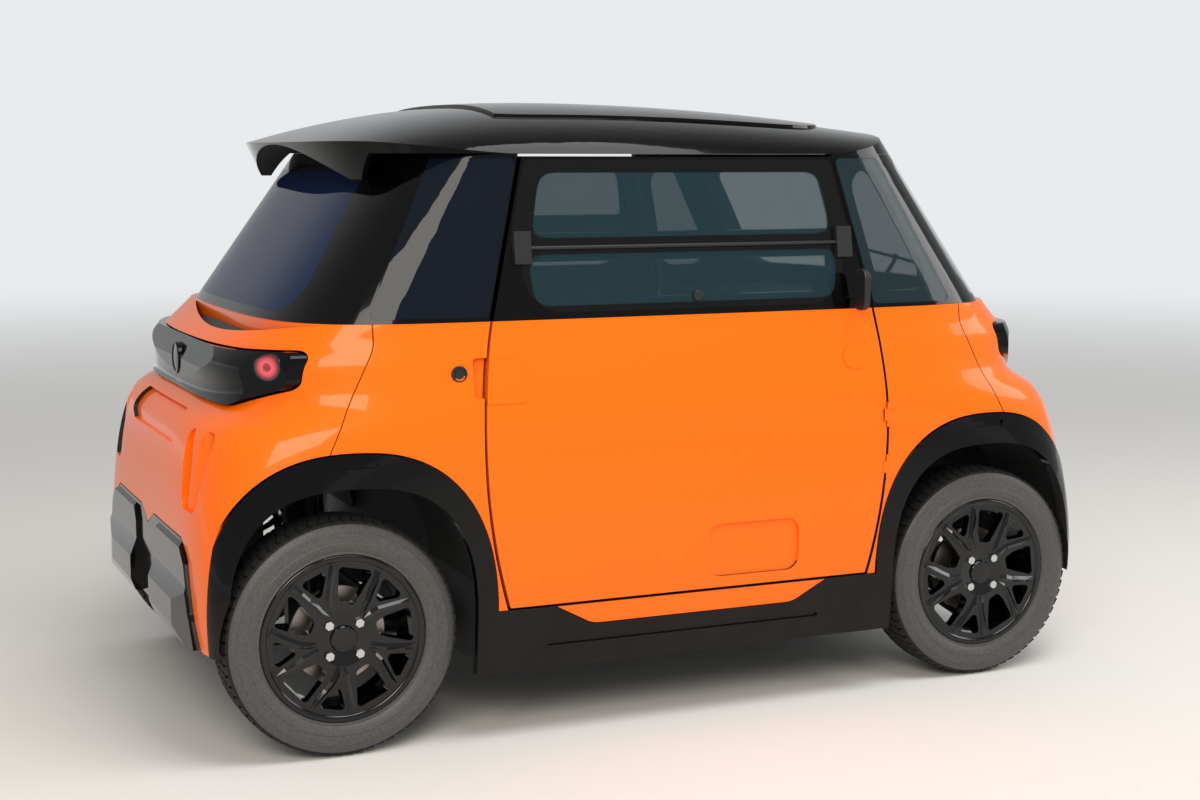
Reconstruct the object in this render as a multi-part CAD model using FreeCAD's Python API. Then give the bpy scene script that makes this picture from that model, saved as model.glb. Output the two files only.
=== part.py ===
import FreeCAD, Part
import math
import os
from FreeCAD import Vector

# Microcar with a rounded box body that is almost the same at both ends.
# X points forward, Y to the left and Z up. The origin is on the floor, midway between the axles.
# Every length is in millimetres, and each driving size is written once, here or with its piece.

# Whole vehicle
wheelbase = 1730.0
overall_length = 2410.0
overall_width = 1390.0
belt_height = 985.0
overrun = 60.0
seat = 0.3
shut_gap = 7.0
seam = 3.0

# Lower body
sill_height = 165.0
bumper_stand_out = 27.0
trim_stand_out = 4.0
skin = 18.0
wall = 56.0
hull_length = overall_length / 2 - bumper_stand_out
hull_width = overall_width / 2 - trim_stand_out
# Each level of the body: height, half length and half width as shares, then the two powers of its outline.
# The ends step in sharply under the lamp mask, which leaves a ledge along the top of the lower panel.
hull_level_shares = (
    (0.168, 0.986, 0.972, 16, 16),
    (0.264, 1.000, 0.994, 16, 16),
    (0.426, 1.002, 1.000, 14, 14),
    (0.590, 1.000, 1.002, 10, 8),
    (0.700, 0.990, 1.000, 9, 6),
    (0.775, 0.972, 0.993, 8, 5),
    (0.806, 0.908, 0.990, 7.5, 4),
    (0.860, 0.922, 0.979, 7, 3.4),
    (0.915, 0.938, 0.967, 7, 3.2),
    (0.955, 0.900, 0.957, 7, 3.2),
    (0.985, 0.865, 0.950, 8, 3.4),
    (1.000, 0.850, 0.948, 8, 3.6),
)
quarter_turn_shares = (0, 0.02, 0.12, 0.25, 0.375, 0.5, 0.625, 0.75, 0.88, 0.98)

# Glasshouse and roof
roof_seat_height = 1366.0
roof_height = 1492.0
glasshouse_length = 985.0
glasshouse_width = hull_width * hull_level_shares[-1][2]
screen_rake = 0.722
side_lean = 0.146
pillar_depth = 36.0
glass_thickness = 5.0
glass_powers = (8, 3.6)
quarter_low = 995.0
quarter_high = 1356.0
window_margin = 5.0
window_round = 14.0
glass_border = 30.0
front_quarter_foot = 766.0
front_quarter_head = 556.0
rear_quarter_foot = 797.0
rear_quarter_head = 612.0
screen_low = 1000.0
screen_high = 1350.0
screen_half_low = 590.0
screen_half_high = 536.0
screen_round = 40.0
back_low = 1006.0
back_high = 1322.0
back_half_low = 475.0
back_half_high = 378.0
back_round = 56.0
dome_foot = 1340.0
dome_width_share = 0.925
dome_powers = (3, 2.2)
dome_steps = 14
# Places along the roof as shares of the body's half length, with the crown there as a share of the roof height
dome_crest_shares = ((-0.764, 0.921), (-0.713, 0.936), (-0.632, 0.957), (-0.509, 0.979), (-0.382, 0.995),
                     (-0.212, 1.000), (0, 0.997), (0.212, 0.988), (0.424, 0.973), (0.594, 0.955), (0.764, 0.938))
roof_thickness = 26.0
roof_panel_inset = 118.0
roof_panel_rise = 7.0
roof_panel_rear = 420.0
spoiler_length = 833.0
spoiler_lean = 0.5
visor_low = 1306.0
visor_half_top = 520.0
visor_half_low = 462.0
visor_arch_half = 424.0
visor_arch_rise = 82.0
visor_root = 742.0

# Wheel arches
arch_centre = 845.0
arch_base = 300.0
arch_outer_half = 334.0
arch_outer_rise = 403.0
arch_inner_half = 285.0
arch_inner_rise = 326.0
arch_outer_power = 2.4
arch_inner_power = 2.6
trim_wrap = 606.0
trim_slot_half = 52.0
trim_slot_low = 671.0
trim_slot_high = 685.0
trim_slot_depth = 7.0
groove_front = 344.0
groove_rear = 386.0
groove_low = 219.0
groove_high = 229.0
liner_inner = 8.0
liner_outer = 14.0
liner_reach = 330.0
liner_bottom = 388.0

# Joints between the panels
seam_front = 782.0
seam_knee_height = 935.0
seam_foot = 900.0
seam_foot_height = 700.0
seam_round = 60.0
strip_half_top = 362.0
strip_half_bottom = 270.0
strip_bottom = 264.0
strip_round = 70.0

# Ends: lamp mask, lamps, headlamp and plate recesses, air slot
end_bottom = 256.0
mask_half_width = 586.0
mask_step_share = 0.74
mask_top = 922.0
mask_end_top = 926.0
mask_bottom = 797.0
mask_end_bottom = 846.0
mask_round = 26.0
mask_stand_out = 16.0
mask_face = 1098.0
mask_crease = 866.0
mask_set_back = 22.0
mask_bend = 412.0
mask_corner_y = 600.0
mask_corner_x = 962.0
lamp_offset = 541.0
lamp_height = 890.0
lamp_radius = 31.0
lamp_depth = 10.0
recess_top = 742.0
recess_low = 560.0
recess_inner_top = 360.0
recess_outer_top = 520.0
recess_outer_low = 504.0
recess_inner_low = 394.0
recess_round = 32.0
recess_depth = 26.0
recess_wall = 4.0
insert_radius = 52.0
insert_offset = 424.0
insert_top = 1084.0
insert_foot = 1120.0
plate_half_top = 236.0
plate_half_middle = 292.0
plate_half_low = 232.0
plate_top = 768.0
plate_middle = 712.0
plate_low = 688.0
plate_round = 12.0
plate_depth = 9.0
slot_reach = 12.0
slot_width = 44.0
slot_start = 250.0
slot_end = 560.0
slot_depth = 60.0
slot_steps = 8

# Bumpers and their pads
bumper_half_foot = 552.0
bumper_half_knee = 506.0
bumper_knee_height = 335.0
bumper_half_top = 466.0
bumper_shoulder_height = 455.0
bumper_half_crown = 400.0
bumper_top = 492.0
bumper_notch_half = 78.0
bumper_notch_height = 456.0
bumper_round = 30.0
pad_back = 1120.0
pad_low = 258.0
pad_top = 486.0
pad_chamfer = 14.0
pad_upper_set_back = 17.0
pad_step_low = 348.0
pad_step_high = 392.0
pad_foot_set_back = 12.0
pad_foot_rise = 30.0
pad_inner = 121.0
pad_inner_top = 152.0
pad_outer_top = 402.0
pad_outer_middle = 462.0
pad_outer_low = 538.0
pad_shoulder_height = 440.0
pad_plan_bend = 396.0
pad_plan_drop = 20.0

# Doors
door_sill = 320.0
door_half_bottom = 478.0
door_half_middle = 533.0
door_half_belt = 505.0
door_half_top = 410.0
flap_line = 1150.0
flap_low = 1000.0
flap_half = 428.0
flap_round = 100.0
pane_gap = 3.0
pane_margin = 6.0
pane_round = 20.0
dent_rear = 32.0
dent_front = 284.0
dent_low = 347.0
dent_high = 477.0
dent_round = 34.0
dent_depth = 7.0
boss_rise = 2.5
grip_boss_rear = -560.0
grip_boss_front = -430.0
grip_boss_low = 798.0
grip_boss_high = 900.0
grip_boss_round = 20.0
round_boss_x = 445.0
round_boss_height = 868.0
round_boss_radius = 31.0
grip_depth = 13.0
grip_low = 812.0
grip_high = 904.0
grip_round = 10.0
block_half_width = 21.0
block_half_height = 38.0
block_stand_out = 13.0
bar_radius = 4.5
bar_clear = 1.5
mirror_x = 448.0
mirror_low = 984.0
mirror_high = 1087.0
mirror_depth = 17.0
mirror_width = 58.0
mirror_inner = 668.0
mirror_round = 26.0
mirror_edge_round = 4.0
mirror_arm_radius = 8.0
mirror_arm_rise = 30.0
hinge_spread = 66.0
hinge_length = 30.0
hinge_radius = 3.5
hinge_room = 1.0
hinge_web = 4.0
hinge_web_depth = 12.0
hinge_web_reach = 12.0
upper_gap = 10.0

# Wheels and steering
tyre_radius = 276.0
tyre_width = 155.0
tyre_shoulder = 24.0
wheel_offset = 572.0
rim_radius = 196.0
barrel_radius = 176.0
barrel_wall = 5.0
barrel_half = 66.0
flange_width = 4.0
bead_half = 50.0
tyre_bead_half = 48.0
face_back = 45.0
face_front = 66.0
face_crown = 71.0
face_dish = 60.0
spoke_count = 5
spoke_swirl = 12.0
window_lap = 16.0
window_corner = 9.0
window_taper = 0.90
hub_radius = 62.0
bearing_radius = 44.0
lug_circle = 50.0
lug_count = 4
lug_radius = 9.0
lug_length = 6.0
disc_radius = 112.0
disc_inner = 4.0
disc_thickness = 9.0
kingpin_offset = 560.0
axle_pin = 15.0
running_clearance = 0.05
well_clearance = 8.0
# A tyre's outline from bead to tread: shares of its wall's height and of its half width
tyre_section_shares = ((0.05, 0.774), (0.125, 0.916), (0.325, 1.0), (0.625, 0.987), (0.825, 0.923), (0.9375, 0.819),
                       (1.0, 0.665))
# The corners of a wheel's openings: shares of the barrel's radius, and degrees from the opening's middle
wide_window_shares = ((0.47, -10.0), (0.47, 10.0), (0.62, 13.5), (0.945, 14.0), (0.945, -14.0), (0.62, -13.5))
fork_window_shares = ((0.66, -2.6), (0.66, 2.6), (0.945, 12.0), (0.945, -12.0))

# Knuckles, front suspension and rear axle
ball_rise = 122.0
ball_radius = 12.0
ball_overlap = 32.0
upright_half = 104.0
upright_half_width = 26.0
upright_depth = 26.0
stub_root = 10.0
stub_reach = 44.0
arm_radius = 10.0
arm_spread = 30.0
arm_root_y = 300.0
arm_tip = 16.0
lower_arm_root = 205.0
upper_arm_root = 400.0
eye_radius = 20.0
damper_radius = 22.0
damper_foot_y = 430.0
damper_foot_z = 195.0
damper_head_y = 345.0
damper_head_z = 520.0
beam_reach = 190.0
beam_height = 252.3
beam_half = 478.0
trail_arm_y = 466.0
trail_arm_radius = 20.0
hub_plate_inner = 446.0
hub_plate_radius = 60.0
rear_damper_foot_y = 440.0
rear_damper_foot_z = 300.0
rear_damper_head_y = 340.0
rear_damper_head_z = 560.0

# Floor, chassis frame and drive
tub_half_width = 660.0
floor_low = 184.0
plate_thickness = 16.0
shelf_height = 700.0
shelf_reach = 1150.0
rail_inner = 262.0
rail_width = 50.0
rail_low = 190.0
rail_height = 40.0
rail_clear = 1.0
cross_places = (650.0, 1080.0)
cross_width = 40.0
tower_half = 40.0
tower_depth = 38.0
motor_rear = 660.0
motor_front = 1000.0
motor_half_width = 200.0
motor_top = 470.0
battery_length = 330.0
battery_inner = 90.0
battery_outer = 470.0
battery_height = 130.0

# Cabin
dash_clear = 8.0
dash_top_inset = 100.0
dash_rear_low = 500.0
dash_rear_high = 430.0
dash_brow = 470.0
dash_front = 900.0
dash_brow_height = 870.0
dash_edge_height = 965.0
dash_top = 975.0
dash_low_round = 50.0
dash_brow_round = 40.0
dash_top_round = 20.0
steer_x = 250.0
steer_y = 280.0
steer_z = 915.0
steer_rake = 0.9
steer_rise = 0.436
handwheel_radius = 170.0
handwheel_rim = 14.0
handwheel_hub = 40.0
handwheel_spoke = 9.0
handwheel_dish = 12.0
handwheel_depth = 30.0
column_radius = 26.0
column_length = 320.0
driver_seat_x = 0.0
passenger_seat_x = -140.0
seat_offset = 280.0
seat_width = 420.0
seat_front = 240.0
seat_length = 605.0
seat_low = 360.0
seat_rise = 600.0
seat_foot_half_length = 130.0
seat_foot_half_width = 160.0
seat_foot_top = 392.0
cushion_inset = 10.0
cushion_gap = 1.2
squab_thickness = 80.0
back_thickness = 82.0
# The seat shell's outline from its front edge round to its foot: shares of its length and of its rise
seat_shell_shares = ((1.0, 0.058), (1.0, 0.108), (0.322, 0.058), (0.058, 1.0), (0, 0.983), (0.264, 0))
seat_shell_rounds = (10.0, 0, 0, 10.0, 10.0, 30.0)
squab_round = 22.0
back_round_low = 20.0
# How far along its line on the shell each corner of a cushion lies
squab_reach_shares = (0.01, 0.03, 0.88, 0.95)
back_reach_shares = (0.14, 0.14, 0.95, 0.96)


def vector(x, y, z):
    return Vector(x, y, z)


def box(x0, x1, y0, y1, z0, z1):
    return Part.makeBox(x1 - x0, y1 - y0, z1 - z0, vector(x0, y0, z0))


def rod(start, end, radius):
    """A round bar from one point to another."""
    along = end.sub(start)
    return Part.makeCylinder(radius, along.Length, start, along)


def turned(shape):
    """The same shape turned half round about the vertical, for the other end of the car."""
    copy = shape.copy()
    copy.rotate(vector(0, 0, 0), vector(0, 0, 1), 180)
    return copy


def flipped(shape):
    """The mirror image on the other side of the car."""
    return shape.mirror(vector(0, 0, 0), vector(0, 1, 0))


def reversed_ends(shape):
    """The mirror image at the other end of the car."""
    return shape.mirror(vector(0, 0, 0), vector(1, 0, 0))


def power_sign(value, power):
    return math.copysign(abs(value) ** power, value)


def superellipse(front, rear, half_width, powers, height):
    """The points that shape a closed outline, squarer as its powers rise, starting at the left side."""
    end_power, side_power = powers
    points = []
    for quarter in range(4):
        for share in quarter_turn_shares:
            angle = math.pi / 2 * (quarter + share + 1)
            along = power_sign(math.cos(angle), 2 / end_power)
            points.append(vector(along * (front if along > 0 else rear),
                                 half_width * power_sign(math.sin(angle), 2 / side_power), height))
    return points


def skinned(levels):
    """A closed solid whose smooth side follows the levels' outlines, with a flat top and bottom."""
    around, up = len(levels[0]), len(levels)
    poles = [[level[index] for level in levels] for index in range(around)]
    inner_knots = up - 4
    surface = Part.BSplineSurface()
    surface.buildFromPolesMultsKnots(poles, [1] * (around + 1), [4] + [1] * inner_knots + [4],
                                     list(range(around + 1)), list(range(inner_knots + 2)),
                                     True, False, 3, 3)
    side = surface.toShape()
    rims = [edge for edge in side.Edges if edge.BoundBox.ZLength < seat]
    shell = Part.Shell([side] + [Part.Face(Part.Wire([rim])) for rim in rims])
    shell.sewShape()
    solid = Part.Solid(shell)
    if solid.Volume < 0:
        solid.reverse()
    return solid


def hull(inset):
    """The body's outer form, or the same form a given depth inside it."""
    levels = []
    shrink = (belt_height - max(inset, 0)) / belt_height
    for height, length, width, end_power, side_power in hull_level_shares:
        end = length * hull_length - inset
        levels.append(superellipse(end, end, width * hull_width - inset, (end_power, side_power),
                                   height * belt_height * shrink))
    return skinned(levels)

def glasshouse(inset, low=belt_height - overrun, high=roof_seat_height + overrun, tail=0):
    """The tapering form of the windows and pillars. A tail gives the rear end a length and lean of its own."""
    levels = []
    steps = 4
    for step in range(steps + 1):
        height = low + (high - low) * step / steps
        rise = height - belt_height
        end = glasshouse_length - screen_rake * rise - inset
        rear = tail + spoiler_lean * (height - roof_seat_height) if tail else end
        levels.append(superellipse(end, rear, glasshouse_width - side_lean * rise - inset,
                                   glass_powers, height))
    return skinned(levels)


def polygon(points):
    return Part.Face(Part.makePolygon(points + [points[0]]))


def rounded(points, radii, place):
    """A face whose corners are rounded. place turns a pair of coordinates into a point in space."""
    edges = []
    count = len(points)
    arcs = []
    for index in range(count):
        before, here, after = (points[(index + step) % count] for step in (-1, 0, 1))
        arm_in = (before[0] - here[0], before[1] - here[1])
        arm_out = (after[0] - here[0], after[1] - here[1])
        size_in, size_out = math.hypot(*arm_in), math.hypot(*arm_out)
        unit_in = (arm_in[0] / size_in, arm_in[1] / size_in)
        unit_out = (arm_out[0] / size_out, arm_out[1] / size_out)
        half = math.acos(max(-1, min(1, unit_in[0] * unit_out[0] + unit_in[1] * unit_out[1]))) / 2
        radius = radii[index]
        if radius == 0 or abs(math.cos(half)) < 1e-6:
            arcs.append((here, None, here))
            continue
        reach = radius / math.tan(half)
        middle = (unit_in[0] + unit_out[0], unit_in[1] + unit_out[1])
        size = math.hypot(*middle)
        depth = radius / math.sin(half) - radius
        arcs.append(((here[0] + unit_in[0] * reach, here[1] + unit_in[1] * reach),
                     (here[0] + middle[0] / size * depth, here[1] + middle[1] / size * depth),
                     (here[0] + unit_out[0] * reach, here[1] + unit_out[1] * reach)))
    for index in range(count):
        start, middle, end = arcs[index]
        if middle:
            edges.append(Part.Arc(place(*start), place(*middle), place(*end)).toShape())
        follow = arcs[(index + 1) % count][0]
        if math.dist(end, follow) > 1e-6:
            edges.append(Part.LineSegment(place(*end), place(*follow)).toShape())
    return Part.Face(Part.Wire(edges))


def on_side(x, z):
    return vector(x, 0, z)


def on_end(y, z):
    return vector(0, y, z)



def through_side(face):
    """A face on the XZ plane made into a bar that runs out through the right side."""
    return face.extrude(vector(0, -overall_width, 0))


def through_front(face):
    """A face on the YZ plane made into a bar that runs out through the front."""
    return face.extrude(vector(overall_length, 0, 0))


def one(shape, name):
    """The shape as a single solid, or as a compound when it has several."""
    solids = [solid for solid in shape.Solids if solid.Volume > 1]
    print(name, len(solids), "solids", round(sum(solid.Volume for solid in solids) / 1e6, 3), "litres")
    return solids[0] if len(solids) == 1 else Part.makeCompound(solids)


nodes = {}


def keep(name, *shapes):
    nodes[name] = one(Part.makeCompound([solid for shape in shapes for solid in shape.Solids]), name)


# Surfaces of the lower body
outer_hull = hull(0)
skin_hull = hull(skin)
frame_hull = hull(skin + seat)
room_hull = hull(wall)
proud_hull = hull(-trim_stand_out)
cabin_hole = glasshouse(pillar_depth)


def both_sides(shape):
    return shape.fuse(flipped(shape))


def both_ends(shape):
    return shape.fuse(reversed_ends(shape))


def arch_outline(half, rise, power, grow):
    """A tall arch on the side plane, open at the bottom and rounded like the wheel it holds."""
    points = []
    steps = 12
    for step in range(steps + 1):
        angle = math.pi * step / steps
        points.append(vector(arch_centre + (half + grow) * power_sign(math.cos(angle), 2 / power), 0,
                             arch_base + (rise + grow) * math.sin(angle) ** (2 / power)))
    curve = Part.BSplineCurve()
    curve.interpolate(Points=points)
    start, end = points[0], points[-1]
    low_start, low_end = vector(start.x, 0, -overrun), vector(end.x, 0, -overrun)
    edges = [curve.toShape(), Part.LineSegment(end, low_end).toShape(),
             Part.LineSegment(low_end, low_start).toShape(), Part.LineSegment(low_start, start).toShape()]
    return through_side(Part.Face(Part.Wire(edges)))


def inner_arch(grow):
    return both_ends(arch_outline(arch_inner_half, arch_inner_rise, arch_inner_power, grow))


def outer_arch(grow):
    return both_ends(arch_outline(arch_outer_half, arch_outer_rise, arch_outer_power, grow))


def door_outline(grow):
    """The door's lower leaf, with a bowed edge at each end."""
    low, high = door_sill - grow, belt_height + overrun
    middle = (door_sill + belt_height) / 2
    bottom, belt = door_half_bottom + grow, door_half_belt + grow
    bow = door_half_middle + grow
    edges = [Part.LineSegment(vector(-bottom, 0, low), vector(bottom, 0, low)).toShape(),
             Part.Arc(vector(bottom, 0, low), vector(bow, 0, middle), vector(belt, 0, belt_height)).toShape(),
             Part.LineSegment(vector(belt, 0, belt_height), vector(belt, 0, high)).toShape(),
             Part.LineSegment(vector(belt, 0, high), vector(-belt, 0, high)).toShape(),
             Part.LineSegment(vector(-belt, 0, high), vector(-belt, 0, belt_height)).toShape(),
             Part.Arc(vector(-belt, 0, belt_height), vector(-bow, 0, middle), vector(-bottom, 0, low)).toShape()]
    return through_side(Part.Face(Part.Wire(edges)))


door_leaf = door_outline(0)
door_hole = door_outline(shut_gap)

# The space that each wheel needs, with its steering at the front
hub_height = tyre_radius
inner_reach = tyre_width / 2 + abs(wheel_offset - kingpin_offset) - tyre_shoulder
front_well = Part.makeSphere(math.hypot(tyre_radius, inner_reach) + well_clearance,
                             vector(wheelbase / 2, -kingpin_offset, hub_height))
rear_well = rod(vector(-wheelbase / 2, -wheel_offset + tyre_width / 2 + well_clearance, hub_height),
                vector(-wheelbase / 2, -wheel_offset - tyre_width / 2 - well_clearance, hub_height),
                tyre_radius + well_clearance)
wells = both_sides(front_well.fuse(rear_well))

# Outlines that part one panel from the next
seam_points = [(0, belt_height + overrun), (seam_front, belt_height + overrun), (seam_front, seam_knee_height),
               (seam_foot, seam_foot_height), (seam_foot, -overrun), (0, -overrun)]


def seam_line(grow):
    """The part of a side that lies on the door's side of the joint with the end panel."""
    points = [(x + grow if x else x, z) for x, z in seam_points]
    return both_ends(through_side(rounded(points, (0, 0, seam_round, seam_round, 0, 0), on_side)))


def sill_strip(grow):
    """The body-coloured strip under the door, which dips between the doors' corners."""
    top = door_sill - shut_gap
    slope = (strip_half_top - strip_half_bottom) / (top - strip_bottom)
    shift = grow * math.hypot(1, slope)
    half_high = strip_half_top + shift + grow * slope
    half_low = strip_half_bottom + shift - grow * slope
    points = [(-half_high, top + grow), (-half_low, strip_bottom - grow), (half_low, strip_bottom - grow),
              (half_high, top + grow)]
    return through_side(rounded(points, (0, strip_round, strip_round, 0), on_side))


def mask_outline(grow):
    """The lamp mask that runs across each end, lower in the middle than at its lamps."""
    half = [(mask_half_width, mask_end_top), (mask_half_width, mask_end_bottom),
            (mask_half_width * mask_step_share, mask_bottom)]
    top = [(mask_half_width * mask_step_share, mask_top)]
    right = [(y + grow, z + (grow if z > lamp_height else -grow)) for y, z in top + half]
    left = [(-y, z) for y, z in reversed(right)]
    radii = (mask_round * 2, mask_round, mask_round, mask_round * 2)
    return through_front(rounded(right + left, radii + radii, on_end))


def bumper_outline(grow):
    """The dark lower part of each end, which steps up over the bumper pads and dips between them."""
    right = [(bumper_half_foot, -overrun), (bumper_half_foot, end_bottom), (bumper_half_knee, bumper_knee_height),
             (bumper_half_top, bumper_shoulder_height), (bumper_half_crown, bumper_top),
             (bumper_notch_half, bumper_top)]
    right = [(y - grow, z - (grow if z > bumper_knee_height else 0)) for y, z in right]
    left = [(-y, z) for y, z in reversed(right)]
    notch = [(0, bumper_notch_height - grow)]
    radii = (0, 0, bumper_round, bumper_round, bumper_round, bumper_round)
    return through_front(rounded(right + notch + left, radii + (bumper_round,) + tuple(reversed(radii)), on_end))


def headlamp_recess(grow):
    """The tall recess beside each corner, narrower at its foot."""
    points = [(recess_inner_top - grow, recess_top + grow), (recess_outer_top + grow, recess_top + grow),
              (recess_outer_low + grow, recess_low - grow), (recess_inner_low - grow, recess_low - grow)]
    return both_sides(through_front(rounded(points, (recess_round + grow,) * 4, on_end)))


def side_patch(x0, x1, z0, z1, radius):
    """A rounded rectangle that runs out through the right side."""
    return through_side(rounded([(x0, z0), (x1, z0), (x1, z1), (x0, z1)], (radius,) * 4, on_side))


# The whole skin of the lower body, open for the wheels, doors and glasshouse
side_trim_zone = outer_arch(0).fuse(through_side(rounded(
    [(-arch_centre, sill_height), (arch_centre, sill_height), (arch_centre, door_sill - shut_gap),
     (-arch_centre, door_sill - shut_gap)], (0, 0, 0, 0), on_side)))
beside_wheels = box(-overall_length, overall_length, -overall_width, -trim_wrap, -overrun, belt_height)
side_trim_zone = side_trim_zone.common(beside_wheels)
end_floor = box(arch_centre, overall_length, -overall_width, overall_width, -overrun, end_bottom)
end_floors = both_ends(end_floor)
below_sill = box(-overall_length, overall_length, -overall_width, overall_width, -overrun, sill_height + skin)
openings = inner_arch(0).fuse(wells)
openings = both_sides(openings)
skin_shell = outer_hull.cut(skin_hull).cut(cabin_hole).cut(openings).cut(end_floors)


# Side panels: a quarter at each end of the door and the sill strip under it
quarters = skin_shell.common(seam_line(0)).cut(door_hole).cut(outer_arch(seam)).cut(below_sill)
quarters = quarters.cut(box(-arch_centre, arch_centre, -overall_width, 0, -overrun, door_sill - shut_gap + seam))
grip = side_patch(grip_boss_rear, -door_half_belt, grip_low, grip_high, grip_round)
quarters = quarters.cut(grip.cut(hull(grip_depth)))
strip = skin_shell.common(sill_strip(0))
side_panel = quarters.fuse(strip)

# Side trims: the arch covers and the rocker, proud of the body, with a slot over each wheel and a groove below
trim = proud_hull.cut(skin_hull).common(side_trim_zone).cut(openings).cut(sill_strip(seam)).cut(door_hole)
trim = trim.cut(end_floors)
trim_core = hull(trim_slot_depth - trim_stand_out)
trim_round = (trim_slot_high - trim_slot_low) / 2 - seat
groove_round = (groove_high - groove_low) / 2 - seat
for end in (1, -1):
    trim_slot = side_patch(end * arch_centre - trim_slot_half, end * arch_centre + trim_slot_half,
                           trim_slot_low, trim_slot_high, trim_round)
    trim = trim.cut(trim_slot.cut(trim_core))
trim = trim.cut(side_patch(-groove_rear, groove_front, groove_low, groove_high, groove_round).cut(trim_core))
keep("side_trim_right", trim)
keep("side_trim_left", flipped(trim))

# End panels, with a tray behind each headlamp recess, a sunk field for the number plate and a crescent air slot
front_half = box(arch_centre - arch_outer_half, overall_length, -overall_width, overall_width, -overrun,
                 belt_height + overrun)
trim_gap = outer_arch(seam).common(box(-overall_length, overall_length, -overall_width, -trim_wrap + seam,
                                       -overrun, belt_height))
fascia = skin_shell.common(front_half).cut(both_sides(seam_line(seam))).cut(both_sides(trim_gap))
fascia = fascia.cut(mask_outline(seam)).cut(bumper_outline(0))
recess_floor = hull(recess_depth)
tray = headlamp_recess(recess_wall).common(skin_hull).cut(hull(recess_depth + recess_wall))
fascia = fascia.fuse(tray).cut(headlamp_recess(0).cut(recess_floor))
plate_side = [(plate_half_top, plate_top), (plate_half_middle, plate_middle), (plate_half_low, plate_low)]
plate_points = plate_side + [(-y, z) for y, z in reversed(plate_side)]
plate_field = through_front(rounded(plate_points, (plate_round,) * 6, on_end))
fascia = fascia.cut(plate_field.cut(hull(plate_depth)))


def deck_edge(y):
    """How far forward the foot of the glasshouse lies at a distance from the middle."""
    end_power, side_power = glass_powers
    return glasshouse_length * (1 - (abs(y) / glasshouse_width) ** side_power) ** (1 / end_power)


def crescent():
    """The air slot in the deck: it follows the foot of the screen and bulges forward."""
    inner, outer = [], []
    for step in range(slot_steps + 1):
        share = step / slot_steps
        y = -slot_start + (slot_start + slot_end) * share
        x = deck_edge(y) + slot_reach
        inner.append(vector(x, y, belt_height - slot_depth))
        outer.append(vector(x + slot_width * math.sin(math.pi * share), y, belt_height - slot_depth))
    outer[0], outer[-1] = inner[0], inner[-1]
    edges = []
    for points in (inner, outer):
        curve = Part.BSplineCurve()
        curve.interpolate(Points=points)
        edges.append(curve.toShape())
    return Part.Face(Part.Wire(Part.__sortEdges__(edges))).extrude(vector(0, 0, slot_depth + overrun))


fascia = fascia.cut(crescent())
keep("front_fascia", fascia)

# The rear end has the same panel, with a rounded body-coloured insert in each recess
inserts = rod(vector(insert_foot, -insert_offset, recess_low - overrun),
              vector(insert_top, -insert_offset, recess_top + overrun), insert_radius)
inserts = both_sides(inserts).common(headlamp_recess(0)).common(outer_hull).cut(recess_floor)
keep("rear_fascia", turned(fascia.fuse(inserts)))

# Lamp masks: flat faces that meet in a crease, bent back towards the corners
mask_profile = polygon([on_side(0, mask_bottom - overrun), on_side(mask_face, mask_bottom - overrun),
                        on_side(mask_face, mask_crease), on_side(mask_face - mask_set_back, mask_end_top),
                        on_side(mask_face - mask_set_back * 2, mask_end_top * 2 - mask_crease),
                        on_side(0, mask_end_top * 2 - mask_crease)])
mask_profile.translate(vector(0, -overall_width, 0))
mask_profile = mask_profile.extrude(vector(0, overall_width * 2, 0))
plan_drop = (mask_face - mask_corner_x) / (mask_corner_y - mask_bend)
mask_reach = mask_face - plan_drop * (hull_width - mask_bend)
mask_plan = polygon([vector(0, -hull_width, 0), vector(mask_reach, -hull_width, 0), vector(mask_face, -mask_bend, 0),
                     vector(mask_face, mask_bend, 0), vector(mask_reach, hull_width, 0), vector(0, hull_width, 0)])
mask_plan = mask_plan.extrude(vector(0, 0, roof_height))
mask_block = hull(-mask_stand_out).common(mask_outline(0)).common(mask_profile).common(mask_plan)
mask = mask_block.cut(skin_hull).common(front_half)


def lamp_pair(radius):
    return both_sides(rod(vector(0, -lamp_offset, lamp_height), vector(overall_length, -lamp_offset, lamp_height),
                          radius))


mask = mask.cut(lamp_pair(lamp_radius).cut(hull(lamp_depth)))
keep("front_mask", mask)
keep("rear_mask", turned(mask))
lamp_bodies = lamp_pair(lamp_radius - seat).common(mask_block).cut(hull(lamp_depth - seat))
headlamps = headlamp_recess(-seat).common(outer_hull).cut(hull(recess_depth - seat))
keep("front_lamps", lamp_bodies, headlamps)
keep("tail_lamps", turned(lamp_bodies))

# Bumpers: a dark lower panel with a pair of faceted pads
pad_tip = overall_length / 2
pad_face = pad_tip - pad_upper_set_back
pad_profile = polygon([on_side(pad_back, pad_low), on_side(pad_tip - pad_foot_set_back, pad_low),
                       on_side(pad_tip, pad_low + pad_foot_rise), on_side(pad_tip, pad_step_low),
                       on_side(pad_face, pad_step_high), on_side(pad_face, pad_top - pad_chamfer),
                       on_side(pad_face - pad_chamfer, pad_top), on_side(pad_back, pad_top)])
pad_front = polygon([on_end(pad_inner, pad_low), on_end(pad_inner, pad_shoulder_height),
                     on_end(pad_inner_top, pad_top), on_end(pad_outer_top, pad_top),
                     on_end(pad_outer_middle, pad_shoulder_height), on_end(pad_outer_low, pad_low)])
pad_plan = polygon([vector(pad_back, 0, 0), vector(pad_tip, 0, 0), vector(pad_tip, pad_plan_bend, 0),
                    vector(pad_tip - pad_plan_drop, pad_outer_low, 0), vector(pad_back, pad_outer_low, 0)])
pad = pad_profile.extrude(vector(0, overall_width, 0)).common(through_front(pad_front))
pad = pad.common(pad_plan.extrude(vector(0, 0, belt_height)))
bumper = outer_hull.common(front_half).fuse(pad).fuse(flipped(pad)).cut(skin_hull)
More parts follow.
